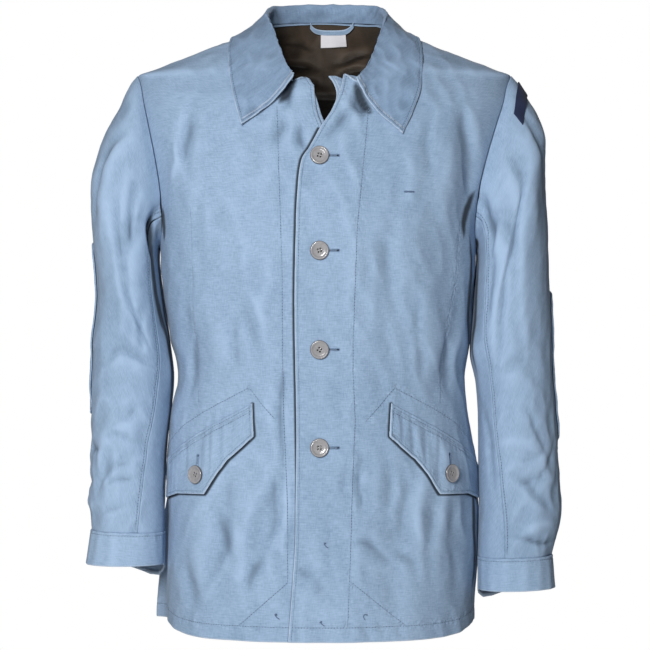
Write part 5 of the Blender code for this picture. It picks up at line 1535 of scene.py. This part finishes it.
# Pocket flaps: doubled cotton cut to a point, with its upper edge in a slanted seam. Each is stitched
# round, has a second row below its seam, and is buttoned down at its outer end.
SECOND_ROW = 0.0085
SECOND_ENDS = (0.005, 0.195)
FLAP_DEEP = 0.055
FLAP_STAND = 0.0018
for side, name in SIDES:
    along = FLAP_WIDTH * np.union1d(spaced(FLAP_WIDTH, 0.0009, 0.0018), [0.5])[None, :]
    down = spaced(FLAP_DEEP, 0.0009, 0.0018)[:, None]
    turn, height = pocket_place(side, along + flap_lean(along) * down, flap_depth(along) * down)
    lift = SOLID_LAYER + SEAM_GAP * down + FLAP_STAND * down**3
    row = pocket_place(side, np.linspace(*SECOND_ENDS, 200), np.full(200, SECOND_ROW))
    second = on_body(*row, SOLID_LAYER)
    grid = panel_point(turn, height, lift)
    grid = grid + body_facing(turn, height) * (0.0004 * ripples(grid, 61, 0.012, 0.9))[..., None]
    edges = {"start": FOLD, "end": FOLD, "last": FOLD, "first": SEAM}
    sewn_edges = {"start": (0.001, TRIM), "end": (0.001, TRIM), "last": (TRIM, TRIM), "first": (0.001, 0.001)}
    cloth(f"{name}_flap", f"pocket_flap_{name}", grid, -side, edges, stitched=sewn_edges, drawn=[second])

# Shoulder title: a curved strip of felted navy cloth, here bare. It lies across the head of the left
# sleeve, a little below the seam, and is stitched down round its edge.
TITLE_START = 130.0
TITLE_SWEEP = 100.0
TITLE_MIDDLE = 180.0
TITLE_BELOW = 0.036
TITLE_ARC = 0.024
TITLE_DEEP = 0.056
TITLE_TAPER = 0.006
navy = cloth_material(
    "navy cloth", (0.012, 0.018, 0.050), (0.026, 0.036, 0.085), (0.05, 0.06, 0.1), 0.95, 0.4, 0.0
)
turn = TITLE_START + TITLE_SWEEP * spaced(0.12, 0.001, 0.002)[None, :]
share = spaced(0.05, 0.001, 0.002)[:, None]
arc = (np.abs(turn - TITLE_MIDDLE) / (TITLE_SWEEP / 2)) ** 1.4
along = TITLE_BELOW + TITLE_ARC * arc + (TITLE_DEEP - TITLE_TAPER * arc) * share
grid = sleeve_point(1, turn, along, SOLID_LAYER + SEAM_GAP)
cloth("cloth_title", "shoulder_title", grid, -1, dict.fromkeys(EDGE_PLACES, SLIM_FOLD[:2]), material=navy,
      thick=0.0011)

# Buttons: grey pressed plastic with a raised rim, a dished face and four holes, sewn on through them. Four
# close the front, and each pocket flap and each cuff has one. The cuffs' are smaller.
BUTTON_RADIUS = 0.0115
CUFF_BUTTON_RADIUS = 0.0075
BUTTON_THICK = 0.0036
BUTTON_STAND = 0.0004
BUTTON_SIDES = 64
HOLE_PLACE = 0.205
HOLE_SIZE = 0.088
HOLE_DEEP = 0.0019
SOLID_CLOTH = 0.0015
FLAP_LAYER = 0.0008
# The turned profile, as shares of the radius and the thickness: the face, then the edge and the back.
BUTTON_FACE = (
    (0, 0.45, 0.62, 0.72, 0.82, 0.90, 0.97, 0.995),
    (0.60, 0.60, 0.64, 0.80, 1.00, 0.98, 0.80, 0.62),
)
BUTTON_BACK = (
    (1.0, 1.0, 0.97, 0.72, 0.05),
    (0.50, 0.34, 0.16, 0.0, 0.0),
)
# Each front button's height and turn on its thread, then each pocket button's place across and height.
FRONT_BUTTON_X = -0.0025
FRONT_BUTTONS = ((-0.1580, 0.5), (-0.2715, 1.1), (-0.3905, 0.2), (-0.5085, 0.8))
POCKET_BUTTONS = (("right", -0.1480, -0.5430), ("left", 0.1510, -0.5415))
POCKET_SPIN = 0.4
CUFF_BUTTON_TURN = CUFF_START + CUFF_SWEEP - 360 - 12.0
CUFF_SPIN = 0.3
grey, tree, shader = new_material("grey plastic", 0.16, 0.5)
from_middle = add(tree, "Attribute", attribute_name="from_middle").outputs["Fac"]
in_hole = add(tree, "Attribute", attribute_name="in_hole").outputs["Fac"]
cloudy = noise(tree, add(tree, "TexCoord").outputs["Object"], 230.0, 3.0)
colour = mix(tree, cloudy, (0.24, 0.235, 0.243, 1), (0.37, 0.362, 0.372, 1))
# The rim is painted dark as shade at the button's edge, and the holes near black as painted shade.
colour = mix(tree, step(tree, from_middle, 0.90, 1.0), colour, (0.075, 0.070, 0.075, 1))
colour = mix(tree, in_hole, colour, (0.004, 0.004, 0.005, 1))
tree.links.new(colour, shader.inputs["Base Color"])
shader.inputs["Coat Weight"].default_value = 0.6
shader.inputs["Coat Roughness"].default_value = 0.08


def button(name, node, radius, spot, facing, spin):
    """A round grid of rings: its height follows the turned profile, less a round-bottomed pit
    exp(-(distance / hole size)^6) at each of four holes. Spin turns it on its thread."""
    size = radius / BUTTON_RADIUS
    face = np.concatenate([np.linspace(0.02, 0.45, 18), np.linspace(0.49, 0.995, 17)])
    rings = np.concatenate([face, BUTTON_BACK[0]])
    rise = np.concatenate([np.interp(face, *BUTTON_FACE), BUTTON_BACK[1]]) * BUTTON_THICK
    angle = np.linspace(0, 2 * np.pi, BUTTON_SIDES, endpoint=False)
    flat = np.stack([np.cos(angle), np.sin(angle)], -1) * rings[:, None, None]
    around = spin + np.pi / 2 * np.arange(4)
    holes = HOLE_PLACE * np.stack([np.cos(around), np.sin(around)], -1)
    pit = np.exp(-((np.linalg.norm(flat[:, :, None] - holes, axis=-1) / HOLE_SIZE) ** 6)).sum(-1)
    pit[len(face):] = 0
    local = np.concatenate([flat * BUTTON_RADIUS, (rise[:, None] - HOLE_DEEP * pit)[..., None]], -1) * size
    turned = np.array(Vector(facing).to_track_quat("Z", "Y").to_matrix())
    index = np.arange(len(rings) * BUTTON_SIDES).reshape(len(rings), BUTTON_SIDES)
    after = np.roll(index, -1, axis=1)
    faces = np.stack([index[:-1], index[1:], after[1:], after[:-1]], -1).reshape(-1, 4).tolist()
    faces += [index[0].tolist(), index[-1, ::-1].tolist()]
    piece = new_piece(name, (local.reshape(-1, 3) @ turned.T) + spot, faces, grey, [node])
    keep_values(piece.data, from_middle=rings[:, None] + 0 * pit, in_hole=pit)


for number, (height, spin) in enumerate(FRONT_BUTTONS, 1):
    lift = SOLID_LAYER + SEAM_GAP + SOLID_CLOTH / 2 + BUTTON_STAND
    spot, facing = on_body(turn_at(FRONT_BUTTON_X, height, -1), height, lift)
    button(f"front_button_{number}", f"button_front_{number}", BUTTON_RADIUS, spot, facing, spin)
for name, x, height in POCKET_BUTTONS:
    lift = SOLID_LAYER + FLAP_LAYER + SOLID_CLOTH / 2 + 2 * BUTTON_STAND
    spot, facing = on_body(turn_at(x, height, -1), height, lift)
    button(f"{name}_pocket_button", f"button_pocket_{name}", BUTTON_RADIUS, spot, facing, POCKET_SPIN)
for side, name in SIDES:
    spot = cuff_point(side, CUFF_BUTTON_TURN, 0.5, CUFF_LAP + SOLID_CLOTH / 2 + BUTTON_STAND)
    ahead = cuff_point(side, CUFF_BUTTON_TURN + 2, 0.5) - cuff_point(side, CUFF_BUTTON_TURN - 2, 0.5)
    facing = unit(np.cross([0.0, 0.0, -1.0], ahead)) * side
    button(f"{name}_cuff_button", f"button_cuff_{name}", CUFF_BUTTON_RADIUS, spot, facing, CUFF_SPIN)

# Buttonholes: blue thread worked over the edges of a slit, with a round eye at its far end. Those of the
# left front lie level, and those of the pocket flaps lie upright.
BUTTONHOLE_LONG = 0.0235
BUTTONHOLE_HALF = 0.0013
BUTTONHOLE_ROUND = 0.6
BUTTONHOLE_X = -0.0030
EYE_ROUND = 0.0007
EYE_REACH = 0.0008
SLIT_START = 0.0010
SLIT_HALF = 0.00028
SLIT_EYE = 0.0006
SLIT_THICK = 0.0002
WORKED_RADIUS = 0.00042
WRAP = 0.0009
THREAD_SIDES = 6
LEVEL = np.array([1.0, 0.0])
UPRIGHT = np.array([0.0, 1.0])
worked_thread = plain_material("worked thread", (0.150, 0.218, 0.335), 0.75)
# The slit's thin dark sheet is painted shade.
gap_shade = plain_material("buttonhole slit shade", (0.012, 0.016, 0.026), 1.0, 0.0)


def tube(name, line, facing, radius, material, closed=False, twist=0.0):
    """A round thread along a line, with wraps along it if twist is given: radius (1 + twist |sin|)."""
    along = np.roll(line, -1, 0) - np.roll(line, 1, 0) if closed else np.gradient(line, axis=0)
    sideways, facing = unit(np.cross(unit(along), facing)), unit(facing)
    width = radius * (1 + twist * np.abs(np.sin(np.pi * run_along(line) / WRAP)))
    angle = np.linspace(0, 2 * np.pi, THREAD_SIDES, endpoint=False)
    ring = sideways[:, None] * np.cos(angle)[None, :, None] + facing[:, None] * np.sin(angle)[None, :, None]
    points = line[:, None] + ring * width[:, None, None]
    index = np.arange(len(line) * THREAD_SIDES).reshape(len(line), THREAD_SIDES)
    index = np.concatenate([index, index[:1]]) if closed else index
    after = np.roll(index, -1, axis=1)
    faces = np.stack([index[:-1], index[1:], after[1:], after[:-1]], -1).reshape(-1, 4)
    new_piece(name, points, faces, material)


def on_front(flat):
    """The left front's cloth at places given as x and height: its points, and the way it faces."""
    x, height = flat.T
    return on_body(turn_at(x, height, -1), height, placket_lift(x))


def on_flap(flat):
    """A pocket flap's cloth at places given as x and height: its points, and the way it faces."""
    x, height = flat.T
    return on_body(turn_at(x, height, -1), height, SOLID_LAYER + SEAM_GAP)


def buttonhole(name, on_cloth, start, ahead):
    """A worked hole, from its start on the cloth the way ahead: thread round a slit, in a loop
    cos^0.6 long and sin^0.6 wide, made wider at the eye. The slit is a thin dark sheet, painted shade."""
    angle = np.linspace(0, 2 * np.pi, 160, endpoint=False)
    eye = np.clip((np.cos(angle) - 0.35) / 0.65, 0, 1)
    half_long = BUTTONHOLE_LONG / 2
    forward = half_long + (half_long + EYE_REACH) * rounded(np.cos(angle), BUTTONHOLE_ROUND)
    sideways = (BUTTONHOLE_HALF + EYE_ROUND * eye) * rounded(np.sin(angle), BUTTONHOLE_ROUND)
    aside = np.array([-ahead[1], ahead[0]])
    line, facing = on_cloth(start + forward[:, None] * ahead + sideways[:, None] * aside)
    tube(name, line + facing * ON_FACE, facing, WORKED_RADIUS, worked_thread, closed=True, twist=0.5)
    share = np.linspace(0, 1, 30)
    line, facing = on_cloth(start + (SLIT_START + (BUTTONHOLE_LONG - SLIT_START) * share)[:, None] * ahead)
    half = SLIT_HALF + SLIT_EYE * np.clip((share - 0.86) / 0.10, 0, 1)
    edge = unit(np.cross(np.gradient(line, axis=0), facing)) * half[:, None]
    points = np.stack([line + edge, line - edge], 1) + facing[:, None] * (ON_FACE + 0.00002)
    index = np.arange(2 * len(share)).reshape(-1, 2)
    faces = np.stack([index[:-1, 0], index[:-1, 1], index[1:, 1], index[1:, 0]], -1)
    thicken(new_piece(name + "_gap", points, faces, gap_shade), SLIT_THICK)


for number, (height, _) in enumerate(FRONT_BUTTONS, 1):
    buttonhole(f"front_buttonhole_{number}", on_front, np.array([BUTTONHOLE_X, height]), LEVEL)
for name, x, height in POCKET_BUTTONS:
    buttonhole(f"{name}_pocket_buttonhole", on_flap, np.array([x, height]), UPRIGHT)

# Loose ends: a short bar of old stitches on the left chest, and four ends of thread low on the fronts,
# where something was once sewn on. They are the same cotton thread, darkened by dirt.
CHEST_BAR = ((0.0985, -0.2005), (0.1105, -0.2005))
BAR_LIFT = 0.0006
BAR_RADIUS = 0.00085
END_LIFT = 0.0003
END_RISE = 0.002
END_CURL = 0.0017
END_RADIUS = 0.00048
# Where each end of thread leaves the cloth, as x and height, and how far it runs from there.
THREAD_ENDS = (
    (0.0024, -0.6230, 0.004, -0.005),
    (-0.0027, -0.7170, 0.005, -0.004),
    (0.0533, -0.7085, -0.003, -0.006),
    (-0.0558, -0.7080, 0.004, -0.005),
)
old_thread = plain_material("old thread", (0.105, 0.155, 0.255), 0.8)
line, facing = front_line(CHEST_BAR, 1)
tube("chest_bar", line + facing * BAR_LIFT, facing, BAR_RADIUS, old_thread, twist=0.4)
for number, (x, height, run_x, run_z) in enumerate(THREAD_ENDS, 1):
    share = np.linspace(0, 1, 40)
    curl = END_CURL * np.stack([np.sin(7.5 * share), 1 - np.cos(6.5 * share)], -1)
    x, height = (np.stack([x + run_x * share, height + run_z * share], -1) + curl).T
    lift = placket_lift(x) + COTTON_THICK / 2 + END_LIFT + END_RISE * share * (1 - share)
    line, facing = on_body(turn_at(x, height, -1), height, lift)
    tube(f"thread_end_{number}", line, facing, END_RADIUS, old_thread)

# Studio: a pale floor well below, a broad soft light in front, a weaker one on each side and one behind.
# The room is white to the camera and dim to the jacket.
FLOOR_HALF = 2.5
FLOOR_LEVEL = -1.45
ROOM_LIGHT = 0.07
LIT_SPOT = Vector((0, 0, -0.36))
corners = [(x * FLOOR_HALF, y * FLOOR_HALF, FLOOR_LEVEL) for x, y in ((-1, -1), (1, -1), (1, 1), (-1, 1))]
floor_mesh = bpy.data.meshes.new("floor")
floor_mesh.from_pydata(corners, [], [(0, 1, 2, 3)])
floor = bpy.data.objects.new("floor", floor_mesh)
floor_mesh.materials.append(plain_material("pale floor", (0.7, 0.7, 0.7), 0.9))
bpy.context.scene.collection.objects.link(floor)
for title, place, size, watts in (
    ("front light", (-0.75, -3.1, 0.40), 1.1, 104.0),
    ("right light", (2.4, -2.0, 0.3), 1.4, 0.8),
    ("left light", (-2.4, -1.8, 0.3), 1.4, 1.6),
    ("back light", (0.6, 3.2, 0.8), 1.6, 42.0),
):
    lamp = bpy.data.lights.new(title, "AREA")
    lamp.shape, lamp.size, lamp.energy = "DISK", size, watts
    light = bpy.data.objects.new(title, lamp)
    light.location = place
    light.rotation_euler = (LIT_SPOT - Vector(place)).to_track_quat("-Z", "Y").to_euler()
    bpy.context.scene.collection.objects.link(light)
world = bpy.data.worlds.new("white room")
bpy.context.scene.world = world
world.use_nodes = True
tree = world.node_tree
shown = add(tree, "LightPath").outputs["Is Camera Ray"]
background = tree.nodes["Background"]
background.inputs["Color"].default_value = (1, 1, 1, 1)
strength = calc(tree, "MULTIPLY_ADD", shown, 1 - ROOM_LIGHT, ROOM_LIGHT)
tree.links.new(strength, background.inputs["Strength"])
bpy.context.scene.view_settings.view_transform = "Standard"
lens = bpy.data.cameras.new("camera")
lens.lens = 132.18
lens.sensor_width = 36.0
camera = bpy.data.objects.new("camera", lens)
camera.location = (0.004, -3.0, -0.361)
camera.rotation_euler = (math.pi / 2, 0, 0)
bpy.context.scene.collection.objects.link(camera)
bpy.context.scene.camera = camera
